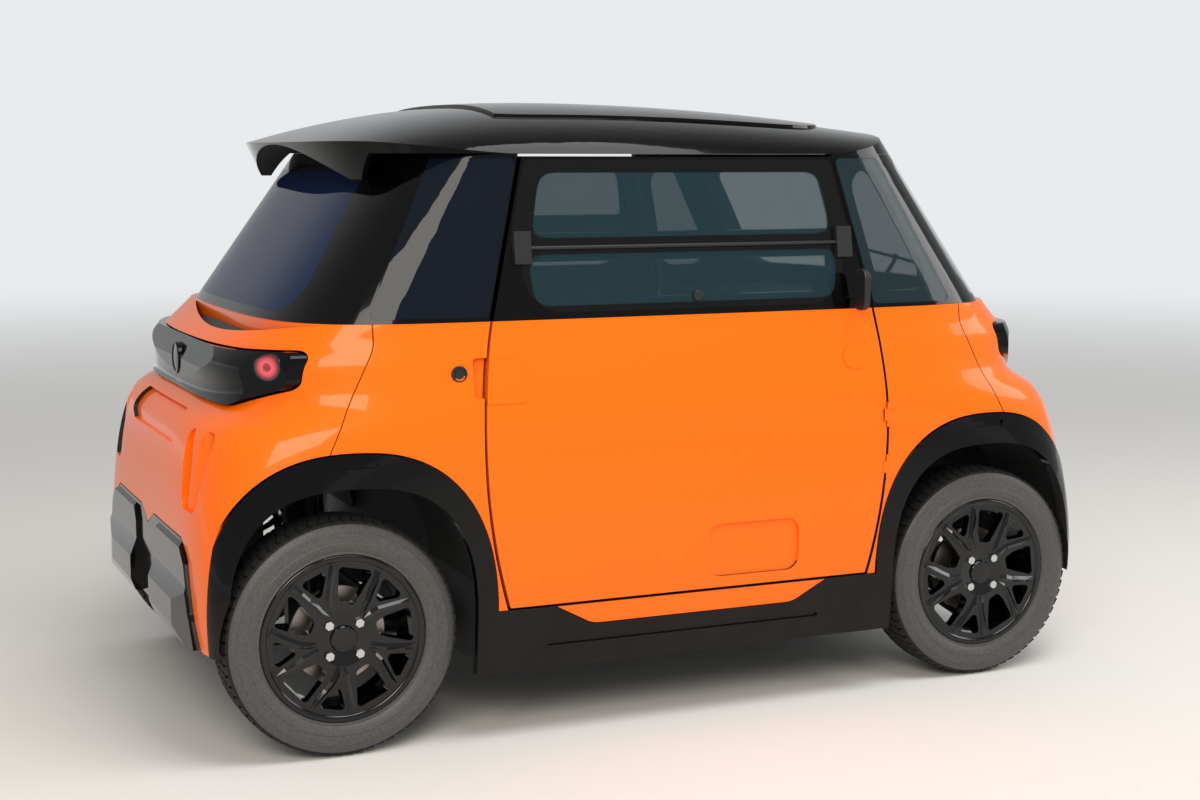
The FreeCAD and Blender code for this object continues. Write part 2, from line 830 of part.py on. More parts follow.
bumper = bumper.common(bumper_outline(seam)).cut(end_floors)
keep("front_bumper", bumper)
keep("rear_bumper", turned(bumper))

# Inner body frame: the wall behind the panels, which carries them
frame_openings = both_sides(inner_arch(liner_outer + seat)).fuse(wells)
frame_holes = both_sides(door_hole)
tray_room = headlamp_recess(recess_wall + seat).cut(hull(recess_depth + recess_wall + seat))
body_frame = frame_hull.cut(room_hull).cut(cabin_hole).cut(frame_openings).cut(frame_holes)
body_frame = body_frame.cut(end_floors).cut(below_sill).cut(tray_room).cut(reversed_ends(tray_room))
keep("body_frame", body_frame)

# Wheel liners
liners = inner_arch(liner_outer).cut(inner_arch(liner_inner)).common(frame_hull)
liners = liners.common(box(-overall_length, overall_length, -overall_width, -liner_reach, liner_bottom, belt_height))
liners = both_sides(liners.cut(wells))
keep("wheel_liners", liners)

# Glasshouse: pillars, screens and side windows
glass_outer = glasshouse(0)
glass_layer = glass_outer.cut(glasshouse(glass_thickness))
pocket_layer = glass_outer.cut(glasshouse(glass_thickness + seat))
pillar_shell = glass_outer.cut(glasshouse(pillar_depth))
above_belt = box(-overall_length, overall_length, -overall_width, overall_width, belt_height + seat,
                 roof_seat_height)
pillar_shell = pillar_shell.common(above_belt)


def door_line(height):
    """Where the end of the door's window frame lies at a height above the belt."""
    share = (height - belt_height) / (roof_seat_height - belt_height)
    return door_half_belt + (door_half_top - door_half_belt) * share


def lean(foot, head, height):
    """A place on a leaning pillar edge, given where it starts at the belt and ends at the roof."""
    return foot + (head - foot) * (height - belt_height) / (roof_seat_height - belt_height)


def upper_door(grow):
    low, high = belt_height - overrun, roof_seat_height - shut_gap + grow
    points = [(-door_line(low) - grow, low), (door_line(low) + grow, low),
              (door_line(high) + grow, high), (-door_line(high) - grow, high)]
    return through_side(rounded(points, (0, 0, 0, 0), on_side))


def quarter_window(sign, foot, head, grow):
    """A fixed side window between the door and a leaning pillar."""
    low, high = quarter_low - grow, quarter_high + grow
    gap = shut_gap + window_margin - grow
    points = [(door_line(low) + gap, low), (lean(foot, head, low) + grow, low),
              (lean(foot, head, high) + grow, high), (door_line(high) + gap, high)]
    radius = max(0, window_round - grow)
    return through_side(rounded([(sign * x, z) for x, z in points], (radius, radius, radius, radius), on_side))


def end_window(low, high, half_low, half_high, radius, grow):
    points = [(-half_low - grow, low - grow), (half_low + grow, low - grow),
              (half_high + grow, high + grow), (-half_high - grow, high + grow)]
    return through_front(rounded(points, (radius, radius, radius, radius), on_end))


def front_screen(grow):
    return end_window(screen_low, screen_high, screen_half_low, screen_half_high, screen_round, grow)


def back_screen(grow):
    return reversed_ends(end_window(back_low, back_high, back_half_low, back_half_high, back_round, grow))


def quarter_windows(grow):
    front = quarter_window(1, front_quarter_foot, front_quarter_head, grow)
    rear = quarter_window(-1, rear_quarter_foot, rear_quarter_head, grow)
    return both_sides(front.fuse(rear))


windows = (front_screen, back_screen, quarter_windows)
for window in windows:
    pillar_shell = pillar_shell.cut(window(seat).common(pocket_layer)).cut(window(-glass_border))
pillar_shell = pillar_shell.cut(both_sides(upper_door(upper_gap)))
rear_zone = polygon([on_side(-lean(rear_quarter_foot, rear_quarter_head, height) - window_margin - reach, height)
                     for height, reach in ((belt_height - overrun, 0), (roof_seat_height + overrun, 0),
                                           (roof_seat_height + overrun, overall_length),
                                           (belt_height - overrun, overall_length))])
rear_zone = rear_zone.extrude(vector(0, overall_width, 0))
rear_zone = both_sides(rear_zone)
keep("rear_frame", pillar_shell.common(rear_zone))
keep("cabin_frame", pillar_shell.cut(rear_zone))
keep("windscreen", glass_layer.common(front_screen(0)))
keep("rear_window", glass_layer.common(back_screen(0)))
keep("quarter_glass", glass_layer.common(quarter_windows(0)))


def dome(lower):
    """The roof's crown: a smooth arch across, higher in the middle of the car and low at the spoiler."""
    half_width = glasshouse_width * dome_width_share
    rows = []
    for x, share in dome_crest_shares:
        height = roof_height * share - dome_foot
        row = []
        for step in range(dome_steps + 1):
            angle = math.pi * step / dome_steps
            row.append(vector(x * hull_length, half_width * power_sign(math.cos(angle), 2 / dome_powers[0]),
                              dome_foot - lower + height * power_sign(math.sin(angle), 2 / dome_powers[1])))
        rows.append(row)
    surface = Part.BSplineSurface()
    knots = [[4] + [1] * (count - 4) + [4] for count in (len(rows), dome_steps + 1)]
    surface.buildFromPolesMultsKnots(rows, knots[0], knots[1], list(range(len(knots[0]))),
                                     list(range(len(knots[1]))), False, False, 3, 3)
    return surface.toShape().extrude(vector(0, 0, -roof_height))


# Roof: a raised panel in the middle, and a visor with an arched lower edge over the rear window
near_glass = glasshouse(-seat)
roof_low, roof_high = roof_seat_height + seat, roof_height + overrun
roof = glasshouse(0, roof_low, roof_high, spoiler_length).common(dome(0))
roof_panel = glasshouse(roof_panel_inset, roof_low, roof_high).common(dome(-roof_panel_rise))
roof_panel = roof_panel.common(box(-roof_panel_rear, overall_length, -overall_width, overall_width, 0, roof_high))
roof_room = glasshouse(pillar_depth, roof_low - overrun, roof_high).common(dome(roof_thickness))
visor_front = polygon([on_end(-visor_half_low, visor_low), on_end(visor_half_low, visor_low),
                       on_end(visor_half_top, roof_low + skin), on_end(-visor_half_top, roof_low + skin)])
visor = glasshouse(0, visor_low - overrun, roof_high, spoiler_length).common(reversed_ends(through_front(visor_front)))
visor = visor.cut(box(-visor_root, overall_length, -overall_width, overall_width, 0, roof_high)).cut(near_glass)
arch_foot = visor_low - overrun
visor_arch = Part.Face(Part.Wire([
    Part.Arc(on_end(-visor_arch_half, visor_low), on_end(0, visor_low + visor_arch_rise),
             on_end(visor_arch_half, visor_low)).toShape(),
    Part.LineSegment(on_end(visor_arch_half, visor_low), on_end(visor_arch_half, arch_foot)).toShape(),
    Part.LineSegment(on_end(visor_arch_half, arch_foot), on_end(-visor_arch_half, arch_foot)).toShape(),
    Part.LineSegment(on_end(-visor_arch_half, arch_foot), on_end(-visor_arch_half, visor_low)).toShape()]))
visor_arch = reversed_ends(through_front(visor_arch)).cut(
    box(-visor_root, overall_length, -overall_width, overall_width, 0, roof_high))
keep("roof", roof.fuse(roof_panel).fuse(visor).cut(roof_room).cut(visor_arch))

# Doors: a dent at the front of the lower leaf, a round boss and a grip pad
door_wall = outer_hull.cut(room_hull).cut(cabin_hole)
leaf = door_wall.common(door_leaf)
dent = side_patch(dent_rear, dent_front, dent_low, dent_high, dent_round)
leaf = leaf.cut(dent.cut(hull(dent_depth)))
boss_layer = hull(-boss_rise).cut(skin_hull)
grip_boss = side_patch(grip_boss_rear, grip_boss_front, grip_boss_low, grip_boss_high, grip_boss_round)
round_boss = rod(vector(round_boss_x, 0, round_boss_height), vector(round_boss_x, -overall_width, round_boss_height),
                 round_boss_radius)
for boss in (grip_boss.common(door_leaf), round_boss):
    leaf = leaf.fuse(boss.common(boss_layer))


def upper_pane(grow):
    low, high = flap_line + pane_gap - grow, roof_seat_height - shut_gap - pane_margin + grow
    points = [(-door_line(low) + pane_margin - grow, low), (door_line(low) - pane_margin + grow, low),
              (door_line(high) - pane_margin + grow, high), (-door_line(high) + pane_margin - grow, high)]
    radii = (0, 0, pane_round, pane_round)
    return through_side(rounded(points, radii, on_side))


def flap_pane(grow):
    low, high = flap_low - grow, flap_line - pane_gap + grow
    points = [(-flap_half - grow, high), (-flap_half - grow, low), (flap_half + grow, low), (flap_half + grow, high)]
    radius = flap_round + min(grow, 0)
    return through_side(rounded(points, (0, radius, radius, 0), on_side))


door_shell = glass_outer.cut(glasshouse(pillar_depth)).common(above_belt).common(upper_door(0))
panes = (upper_pane, flap_pane)
for pane in panes:
    door_shell = door_shell.cut(pane(seat).common(pocket_layer)).cut(pane(-glass_border))
door_glass = glass_layer.common(upper_pane(0)).fuse(glass_layer.common(flap_pane(0)))


def glass_side(height):
    """How far out the side glass lies at a height, at the middle of the car."""
    return glasshouse_width - side_lean * (height - belt_height)


# Fittings on the right door: flap hinges, the bar between them, and the mirror
hinge_tilt = math.degrees(math.atan(side_lean))
bar_y = -glass_side(flap_line) - bar_radius - bar_clear
fittings = rod(vector(-flap_half, bar_y, flap_line), vector(flap_half, bar_y, flap_line), bar_radius)
for sign in (-1, 1):
    block = box(sign * flap_half - block_half_width, sign * flap_half + block_half_width,
                -block_stand_out, block_stand_out, -block_half_height, block_half_height)
    block.rotate(vector(0, 0, 0), vector(1, 0, 0), -hinge_tilt)
    block.translate(vector(0, -glass_side(flap_line), flap_line))
    fittings = fittings.fuse(block)
fittings = fittings.cut(near_glass)
mirror_outer = mirror_inner + mirror_width
mirror_head = rounded([(-mirror_outer, mirror_low), (-mirror_inner, mirror_low), (-mirror_inner, mirror_high),
                       (-mirror_outer, mirror_high)], (mirror_round,) * 4, on_end)
mirror_head = mirror_head.extrude(vector(mirror_depth, 0, 0))
mirror_head = mirror_head.makeFillet(mirror_edge_round, mirror_head.Edges)
mirror_head.translate(vector(mirror_x - mirror_depth / 2, 0, 0))
arm_height = mirror_low + mirror_arm_rise
mirror_arm = rod(vector(mirror_x, -glasshouse_width + skin, arm_height),
                 vector(mirror_x, -mirror_inner - mirror_width / 2, arm_height), mirror_arm_radius)
mirror = mirror_head.fuse(mirror_arm).cut(near_glass)

# The hinges stand on the skin's edge, in the shut line at the door's widest part
hinge_axis_x = door_half_middle + shut_gap / 2
door_middle_height = (door_sill + belt_height) / 2


def hinge_knuckle(low, high, side, grow=0):
    """One turned length of a hinge, with the web that ties it to the skin on its own side of the shut line."""
    x0, x1 = sorted((hinge_axis_x - side * grow, hinge_axis_x + side * (hinge_web_reach + grow)))
    web = box(x0, x1, -hull_width - hinge_web / 2 - grow, -hull_width + hinge_web_depth + grow, low, high)
    pin = rod(vector(hinge_axis_x, -hull_width, low), vector(hinge_axis_x, -hull_width, high), hinge_radius + grow)
    return pin.fuse(web)


leaf_hinges, panel_hinges, leaf_room, panel_room = [], [], [], []
for sign in (-1, 1):
    centre = door_middle_height + sign * hinge_spread
    half = hinge_length / 2
    leaf_hinges.append(hinge_knuckle(centre - half, centre + half, -1))
    panel_room.append(hinge_knuckle(centre - half - seat, centre + half + seat, -1, hinge_room))
    for step in (-1, 1):
        low, high = sorted((centre + step * (half + seat), centre + step * (half + seat + hinge_length / 2)))
        panel_hinges.append(hinge_knuckle(low, high, 1))
        leaf_room.append(hinge_knuckle(low - seat, high + seat, 1, hinge_room))
for room in leaf_room:
    leaf = leaf.cut(room)
for room in panel_room:
    side_panel = side_panel.cut(room)
for hinge in leaf_hinges:
    leaf = leaf.fuse(hinge)
for hinge in panel_hinges:
    side_panel = side_panel.fuse(hinge)
keep("side_panels_right", side_panel)
keep("side_panels_left", turned(side_panel))

for side, place, mirror_place in (("right", lambda shape: shape, lambda shape: shape), ("left", turned, flipped)):
    keep("door_panel_" + side, place(leaf))
    keep("door_frame_" + side, place(door_shell))
    keep("door_glass_" + side, place(door_glass))
    keep("door_fittings_" + side, place(fittings), mirror_place(mirror))


# Wheels
def ring_of(points, centre):
    """A ring turned about the wheel's axis. Each point is a radius and a distance outwards."""
    outline = Part.makePolygon([vector(radius, -out, 0) for radius, out in points + [points[0]]])
    ring = Part.Face(outline).revolve(vector(0, 0, 0), vector(0, 1, 0), 360)
    ring.translate(centre)
    return ring


def window_cutter(corner_shares, turn, centre):
    """An opening between spokes, with corners given by radius and angle, which narrows towards the back."""
    corners = []
    for radius_share, angle in corner_shares:
        bearing = math.radians(turn + angle + spoke_swirl * radius_share)
        corners.append((barrel_radius * radius_share * math.sin(bearing),
                        barrel_radius * radius_share * math.cos(bearing)))
    middle = [sum(corner[axis] for corner in corners) / len(corners) for axis in (0, 1)]
    rings = []
    for scale, out in ((window_taper, face_back - window_lap), (1 / window_taper, face_crown + window_lap)):
        points = [(middle[0] + (x - middle[0]) * scale, middle[1] + (z - middle[1]) * scale) for x, z in corners]
        face = rounded(points, (window_corner * scale,) * len(points), lambda x, z: vector(x, -out, z))
        rings.append(face.OuterWire)
    return Part.makeLoft(rings, True, True).translated(centre)


tyre_half = tyre_width / 2
tyre_wall = tyre_radius - rim_radius
tyre_profile = [(barrel_radius + seat, tyre_bead_half)]
tyre_profile += [(rim_radius + tyre_wall * height, tyre_half * out) for height, out in tyre_section_shares]
tyre_profile += [(radius, -out) for radius, out in reversed(tyre_profile)]
rim_profile = [(barrel_radius - barrel_wall, barrel_half), (rim_radius, barrel_half),
               (rim_radius, barrel_half - flange_width), (barrel_radius, bead_half)]
rim_profile += [(radius, -out) for radius, out in reversed(rim_profile)]
face_rim = barrel_radius - barrel_wall / 2
bore_radius = axle_pin + running_clearance
disc_outer = disc_inner + disc_thickness
hub_end = face_back + barrel_wall


def wheel(centre):
    tyre = ring_of(tyre_profile, centre)
    face = ring_of([(0, face_back), (face_rim, face_back), (face_rim, face_front), (hub_radius, face_crown),
                    (0, face_dish)], centre)
    for index in range(spoke_count):
        turn = 360.0 * index / spoke_count
        face = face.cut(window_cutter(wide_window_shares, turn, centre))
        face = face.cut(window_cutter(fork_window_shares, turn + 180.0 / spoke_count, centre))
    hub = ring_of([(bore_radius, disc_inner), (disc_radius, disc_inner), (disc_radius, disc_outer),
                   (bearing_radius, disc_outer), (bearing_radius, hub_end), (bore_radius, hub_end)], centre)
    rim = ring_of(rim_profile, centre).fuse(face).fuse(hub)
    for index in range(lug_count):
        angle = 2 * math.pi * (index + 0.5) / lug_count
        lug = centre.add(vector(lug_circle * math.cos(angle), 0, lug_circle * math.sin(angle)))
        rim = rim.fuse(rod(lug.add(vector(0, -face_dish, 0)), lug.add(vector(0, -face_crown - lug_length, 0)),
                           lug_radius))
    return tyre, rim


for end_name, end in (("front", 1), ("rear", -1)):
    tyre, rim = wheel(vector(end * wheelbase / 2, -wheel_offset, hub_height))
    for side, place in (("right", lambda shape: shape), ("left", flipped)):
        keep("tyre_" + end_name + "_" + side, place(tyre))
        keep("rim_" + end_name + "_" + side, place(rim))

# Steering knuckles, with the stub axle that carries the front wheel
axle_x = wheelbase / 2
kingpin = vector(axle_x, -kingpin_offset, hub_height)
knuckle = box(kingpin.x - upright_half_width, kingpin.x + upright_half_width, kingpin.y, kingpin.y + upright_depth,
              hub_height - upright_half, hub_height + upright_half)
knuckle = knuckle.fuse(rod(kingpin.add(vector(0, stub_root, 0)), vector(axle_x, -wheel_offset - stub_reach, hub_height),
                           axle_pin))
for sign in (-1, 1):
    knuckle = knuckle.fuse(rod(kingpin.add(vector(0, 0, sign * ball_rise)),
                               kingpin.add(vector(0, 0, sign * (ball_rise - ball_overlap))), ball_radius))
keep("knuckle_right", knuckle)
keep("knuckle_left", flipped(knuckle))

# Chassis under the cabin and between the wheels: the floor, its bulkheads and the shelves over the wheels
tub_end = arch_centre - arch_inner_half - liner_outer - seat
tub_wall = tub_end - plate_thickness
floor_high = floor_low + plate_thickness
pan_room = hull(wall + seat).cut(both_sides(door_hole))
pans = [box(-tub_wall + seat, tub_wall - seat, -tub_half_width, tub_half_width, floor_low, floor_high)]
for end in (1, -1):
    x0, x1 = sorted((end * tub_wall, end * tub_end))
    pans.append(box(x0, x1, -tub_half_width, tub_half_width, floor_low, shelf_height))
    x0, x1 = sorted((end * (tub_end + seat), end * shelf_reach))
    pans.append(box(x0, x1, -tub_half_width, tub_half_width, shelf_height - plate_thickness, shelf_height))
keep("floor_pan", *[pan.common(pan_room) for pan in pans])

rail_end = hull_length - wall - rail_clear
rail_high = rail_low + rail_height
tower_high = shelf_height - plate_thickness - seat
chassis = []
for end in (1, -1):
    for side in (1, -1):
        x0, x1 = sorted((end * (tub_end + seat), end * rail_end))
        y0, y1 = sorted((side * rail_inner, side * (rail_inner + rail_width)))
        chassis.append(box(x0, x1, y0, y1, rail_low, rail_high))
        y0, y1 = sorted((side * rail_inner, side * (rail_inner + tower_depth)))
        chassis.append(box(end * axle_x - tower_half, end * axle_x + tower_half, y0, y1, rail_high, tower_high))
    for x in cross_places:
        x0, x1 = sorted((end * x, end * (x + cross_width)))
        chassis.append(box(x0, x1, -rail_inner, rail_inner, rail_low, rail_high))
chassis = chassis[0].multiFuse(chassis[1:])
keep("chassis_frame", chassis)

motor = box(motor_rear, motor_front, -motor_half_width, motor_half_width, rail_high + seat, motor_top)
battery_top = floor_high + battery_height
battery = box(-battery_length, 0, -battery_outer, -battery_inner, floor_high + seat, battery_top)
keep("drive_block", motor, battery)

# Front suspension: wishbones on the tower, a strut, and eyes that the knuckle turns between
arms = []
eye_rise = ball_rise + arm_radius + seat
for root, eye_height in ((lower_arm_root, hub_height - eye_rise), (upper_arm_root, hub_height + eye_rise)):
    for x in (-arm_spread, arm_spread):
        arms.append(rod(vector(axle_x + x, -arm_root_y, root), vector(axle_x, arm_tip - kingpin_offset, eye_height),
                        arm_radius))
    arms.append(rod(vector(axle_x, -kingpin_offset, eye_height - arm_radius),
                    vector(axle_x, -kingpin_offset, eye_height + arm_radius), eye_radius))
arms.append(rod(vector(axle_x, -damper_foot_y, damper_foot_z), vector(axle_x, -damper_head_y, damper_head_z),
                damper_radius))
suspension = arms[0].multiFuse(arms[1:]).cut(chassis)
keep("front_suspension", both_sides(suspension))

# Rear axle: a beam with trailing arms and the stub axles that carry the rear wheels
beam_x = beam_reach - axle_x
beam = [rod(vector(beam_x, -beam_half, beam_height), vector(beam_x, beam_half, beam_height), damper_radius)]
for side in (1, -1):
    beam.append(rod(vector(beam_x, side * trail_arm_y, beam_height), vector(-axle_x, side * trail_arm_y, hub_height),
                    trail_arm_radius))
    beam.append(rod(vector(-axle_x, side * hub_plate_inner, hub_height), vector(-axle_x, side * beam_half, hub_height),
                    hub_plate_radius))
    beam.append(rod(vector(-axle_x, side * trail_arm_y, hub_height),
                    vector(-axle_x, side * (wheel_offset + stub_reach), hub_height), axle_pin))
    beam.append(rod(vector(-axle_x, side * rear_damper_foot_y, rear_damper_foot_z),
                    vector(-axle_x, side * rear_damper_head_y, rear_damper_head_z), damper_radius))
keep("rear_axle", beam[0].multiFuse(beam[1:]).cut(chassis))

# Cabin
dash = rounded([(dash_rear_low, shelf_height + seat), (dash_front, shelf_height + seat), (dash_front, dash_top),
                (dash_brow, dash_edge_height), (dash_rear_high, dash_brow_height)],
               (0, 0, dash_top_round, dash_brow_round, dash_low_round), on_side)
dash = both_sides(dash.extrude(vector(0, -overall_width, 0)))
dash_room = glasshouse(dash_top_inset, dash_brow_height).fuse(hull(wall + dash_clear))
dash = dash.common(dash_room)
keep("dashboard", dash)
steer_centre = vector(steer_x, steer_y, steer_z)
steer_axis = vector(-steer_rake, 0, steer_rise)
steer_axis.normalize()


def along_steer(distance):
    return steer_centre.add(vector(steer_axis.x * distance, 0, steer_axis.z * distance))


keep("steering_column", rod(along_steer(-handwheel_depth - seat), along_steer(-column_length), column_radius).cut(dash))
steering_wheel = Part.makeTorus(handwheel_radius, handwheel_rim, steer_centre, steer_axis)
steering_wheel = steering_wheel.fuse(rod(along_steer(-handwheel_depth), along_steer(0), handwheel_hub))
for angle in (90, 210, 330):
    spoke = rod(vector(0, 0, 0), vector(handwheel_radius, 0, 0), handwheel_spoke)
    spoke.rotate(vector(0, 0, 0), vector(0, 0, 1), angle)
    spoke.rotate(vector(0, 0, 0), vector(0, 1, 0), -math.degrees(math.atan2(steer_rake, steer_rise)))
    spoke.translate(along_steer(-handwheel_dish))
    steering_wheel = steering_wheel.fuse(spoke)
keep("steering_wheel", steering_wheel)


def beside(start, end, share, distance):
    """A point on the way from start to end, moved out at a right angle to that line."""
    along = (end[0] - start[0], end[1] - start[1])
    size = math.hypot(*along)
    return (start[0] + along[0] * share + along[1] / size * distance,
            start[1] + along[1] * share - along[0] / size * distance)


seat_points = [(seat_front - seat_length * (1 - x), seat_low + seat_rise * z) for x, z in seat_shell_shares]
shells, cushions = [], []
for seat_x, seat_y, foot in ((driver_seat_x, seat_offset, floor_high + seat),
                             (passenger_seat_x, -seat_offset, battery_top + seat)):
    shell = rounded(seat_points, seat_shell_rounds, on_side).extrude(vector(0, seat_width, 0))
    shell = shell.fuse(box(-seat_foot_half_length, seat_foot_half_length, seat_width / 2 - seat_foot_half_width,
                           seat_width / 2 + seat_foot_half_width, foot, seat_foot_top))
    shift = vector(seat_x, seat_y - seat_width / 2, 0)
    shells.append(shell.translated(shift))
    for start, end, thickness, reach_shares, low_round in (
            (seat_points[1], seat_points[2], squab_thickness, squab_reach_shares, 0),
            (seat_points[2], seat_points[3], back_thickness, back_reach_shares, back_round_low)):
        outline = [beside(start, end, reach_shares[0], cushion_gap),
                   beside(start, end, reach_shares[1], cushion_gap + thickness),
                   beside(start, end, reach_shares[2], cushion_gap + thickness),
                   beside(start, end, reach_shares[3], cushion_gap)]
        pad = rounded(outline, (0, low_round or squab_round, squab_round, 0), on_side)
        pad = pad.extrude(vector(0, seat_width - cushion_inset * 2, 0)).translated(vector(0, cushion_inset, 0))
        cushions.append(pad.translated(shift))
keep("seat_shells", *shells)
keep("seat_cushions", *cushions)

os.makedirs("parts", exist_ok=True)
for name, shape in nodes.items():
    shape.exportStep("parts/" + name + ".step")
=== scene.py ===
# %% [markdown]
# A small electric car with a plastic body on a steel frame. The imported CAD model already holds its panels,
# glass, wheels and seats at their real size, so this lesson gives them real finishes, and adds what a frame
# leaves out: tread blocks, bolts, lamp insides, padded seats and small trim.

# %% Load the frame
import math

import bmesh
import bpy
from mathutils import Matrix, Vector
from mathutils.bvhtree import BVHTree


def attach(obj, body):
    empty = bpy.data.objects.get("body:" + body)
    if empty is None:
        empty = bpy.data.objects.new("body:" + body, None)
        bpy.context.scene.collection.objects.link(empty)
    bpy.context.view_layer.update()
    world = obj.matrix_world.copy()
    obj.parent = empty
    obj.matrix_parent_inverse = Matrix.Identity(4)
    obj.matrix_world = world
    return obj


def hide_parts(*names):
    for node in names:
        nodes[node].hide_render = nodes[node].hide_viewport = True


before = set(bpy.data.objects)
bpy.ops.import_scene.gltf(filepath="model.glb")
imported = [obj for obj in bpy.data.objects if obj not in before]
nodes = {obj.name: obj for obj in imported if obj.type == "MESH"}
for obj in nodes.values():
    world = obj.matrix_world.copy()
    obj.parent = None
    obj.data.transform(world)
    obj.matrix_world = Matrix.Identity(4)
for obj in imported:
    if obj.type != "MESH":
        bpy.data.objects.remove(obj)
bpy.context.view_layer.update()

# %% [markdown]
# Colours are easier to pick as the hex values of a paint chart, but a shader wants linear light. One function
# turns one into the other. Another adds a node, sets its values and links its inputs.

# %% Colour and node helpers
MM = 0.001


def linear(hex_colour, alpha=1.0):
    channels = [int(hex_colour[i:i + 2], 16) / 255 for i in (1, 3, 5)]
    return [c / 12.92 if c <= 0.04045 else ((c + 0.055) / 1.055) ** 2.4 for c in channels] + [alpha]


def add(tree, kind, inputs=None, **settings):
    node = tree.nodes.new(kind)
    for name, value in settings.items():
        setattr(node, name, value)
    for key, value in (inputs or {}).items():
        if isinstance(value, bpy.types.NodeSocket):
            tree.links.new(value, node.inputs[key])
        else:
            node.inputs[key].default_value = value
    return node


def surface(name, colour, **values):
    """A material with one shader. It returns the material, its tree and the shader node."""
    material = bpy.data.materials.new(name)
    material.use_nodes = True
    tree = material.node_tree
    tree.nodes.clear()
    shader = add(tree, "ShaderNodeBsdfPrincipled", {"Base Color": linear(colour)})
    for key, value in values.items():
        shader.inputs[key.replace("_", " ").title().replace("Ior", "IOR")].default_value = value
    add(tree, "ShaderNodeOutputMaterial", {"Surface": shader.outputs[0]})
    return material, tree, shader


# %% [markdown]
# The studio is plain: a pale floor, a pale world, and large soft lamps. Glossy black panels show their shape
# only through what they reflect, so one lamp hangs over the car, one stands behind it on its right and one in
# front. Mirror images see a dimmer world than the camera does, which keeps the black film black. Far from the
# car the floor turns into the backdrop's own colour, so there is no horizon, and near it the floor keeps its
# shadow. The camera stands where the photographer stood: behind the car, on its right, a little below the roof.

# %% Camera, floor and lamps
PHOTO_PLACE = Vector((-2.0246, -4.6685, 1.3629))
PHOTO_TURN = math.radians(66.016)
PHOTO_TILT = math.radians(-7.416)
PHOTO_ROLL = math.radians(0.083)
PHOTO_LENS = 56.468
BACKDROP_COLOUR = "#EEF0F2"
BACKDROP_LEVEL = 0.95
REFLECTED_LEVEL = 0.55
FLOOR_HALF = 60.0
FLOOR_FADE = (3.0, 16.0)
camera_data = bpy.data.cameras.new("photo_camera")
camera_data.sensor_width = 36.0
camera_data.lens = PHOTO_LENS
camera_data.clip_end = 100.0
camera = bpy.data.objects.new("photo_camera", camera_data)
bpy.context.scene.collection.objects.link(camera)
camera.matrix_world = (Matrix.Translation(PHOTO_PLACE) @ Matrix.Rotation(PHOTO_TURN - math.pi / 2, 4, "Z")
                       @ Matrix.Rotation(math.pi / 2 + PHOTO_TILT, 4, "X") @ Matrix.Rotation(PHOTO_ROLL, 4, "Z"))
bpy.context.scene.camera = camera

scene = bpy.context.scene
scene.view_settings.view_transform = "Standard"
world = bpy.data.worlds.new("studio")
scene.world = world
world.use_nodes = True
sky = world.node_tree
sky.nodes.clear()
rays = add(sky, "ShaderNodeLightPath")
seen = add(sky, "ShaderNodeMath", {0: rays.outputs["Is Camera Ray"], 1: rays.outputs["Is Transmission Ray"]},
           operation="MAXIMUM")
level = add(sky, "ShaderNodeMapRange", {"Value": seen.outputs[0], "To Min": REFLECTED_LEVEL,
                                        "To Max": BACKDROP_LEVEL})
backdrop = add(sky, "ShaderNodeBackground", {"Color": linear(BACKDROP_COLOUR), "Strength": level.outputs[0]})
add(sky, "ShaderNodeOutputWorld", {"Surface": backdrop.outputs[0]})

floor_mesh = bpy.data.meshes.new("floor")
floor_corners = [(x * FLOOR_HALF, y * FLOOR_HALF, 0) for x, y in ((-1, -1), (1, -1), (1, 1), (-1, 1))]
floor_mesh.from_pydata(floor_corners, [], [(0, 1, 2, 3)])
floor = bpy.data.objects.new("floor", floor_mesh)
scene.collection.objects.link(floor)
floor_finish, floor_tree, floor_shader = surface("pale studio floor", "#E4E1DC", roughness=0.85)
spot = add(floor_tree, "ShaderNodeTexCoord")
reach = add(floor_tree, "ShaderNodeVectorMath", {0: spot.outputs["Object"]}, operation="LENGTH")
far = add(floor_tree, "ShaderNodeMapRange", {"Value": reach.outputs["Value"], "From Min": FLOOR_FADE[0],
                                             "From Max": FLOOR_FADE[1]}, interpolation_type="SMOOTHSTEP")
glow = add(floor_tree, "ShaderNodeEmission", {"Color": linear(BACKDROP_COLOUR), "Strength": BACKDROP_LEVEL})
fade = add(floor_tree, "ShaderNodeMixShader", {0: far.outputs[0], 1: floor_shader.outputs[0], 2: glow.outputs[0]})
floor_out = next(node for node in floor_tree.nodes if node.type == "OUTPUT_MATERIAL")
floor_tree.links.new(fade.outputs[0], floor_out.inputs["Surface"])
floor_mesh.materials.append(floor_finish)


def lamp(name, place, aim, width, height, power, colour="#FFFFFF"):
    """A soft box of real width and height in metres that looks at a point."""
    data = bpy.data.lights.new(name, "AREA")
    data.shape = "RECTANGLE"
    data.size, data.size_y, data.energy = width, height, power
    data.color = linear(colour)[:3]
    item = bpy.data.objects.new(name, data)
    item.location = place
    item.rotation_euler = (Vector(aim) - Vector(place)).to_track_quat("-Z", "Y").to_euler()
    scene.collection.objects.link(item)


lamp("overhead", (0.6, -2.6, 5.6), (0, 0, 0.8), 3.4, 2.6, 150)
lamp("right_side", (-3.0, -5.6, 3.8), (0.1, 0, 0.6), 3.6, 2.2, 230, "#FFF7EA")
lamp("front_side", (5.4, -2.2, 3.0), (0.6, 0, 0.6), 3.0, 2.0, 90)
print("camera at", [round(v, 3) for v in camera.location])

# %% [markdown]
# The body panels are ABS, coloured through and covered with a glossy clear film. Real film is never perfectly
# flat: a fine orange peel, about 3 mm from bump to bump, breaks up the edges of reflections. A thin layer of
# road dust dulls the panels low down, so each panel finish also gets a dust share that falls off with height.

# %% Surface detail helpers
PEEL_SIZE = 3.0 * MM
DUST_TOP = 0.55
DUST_COLOUR = "#8A7F72"


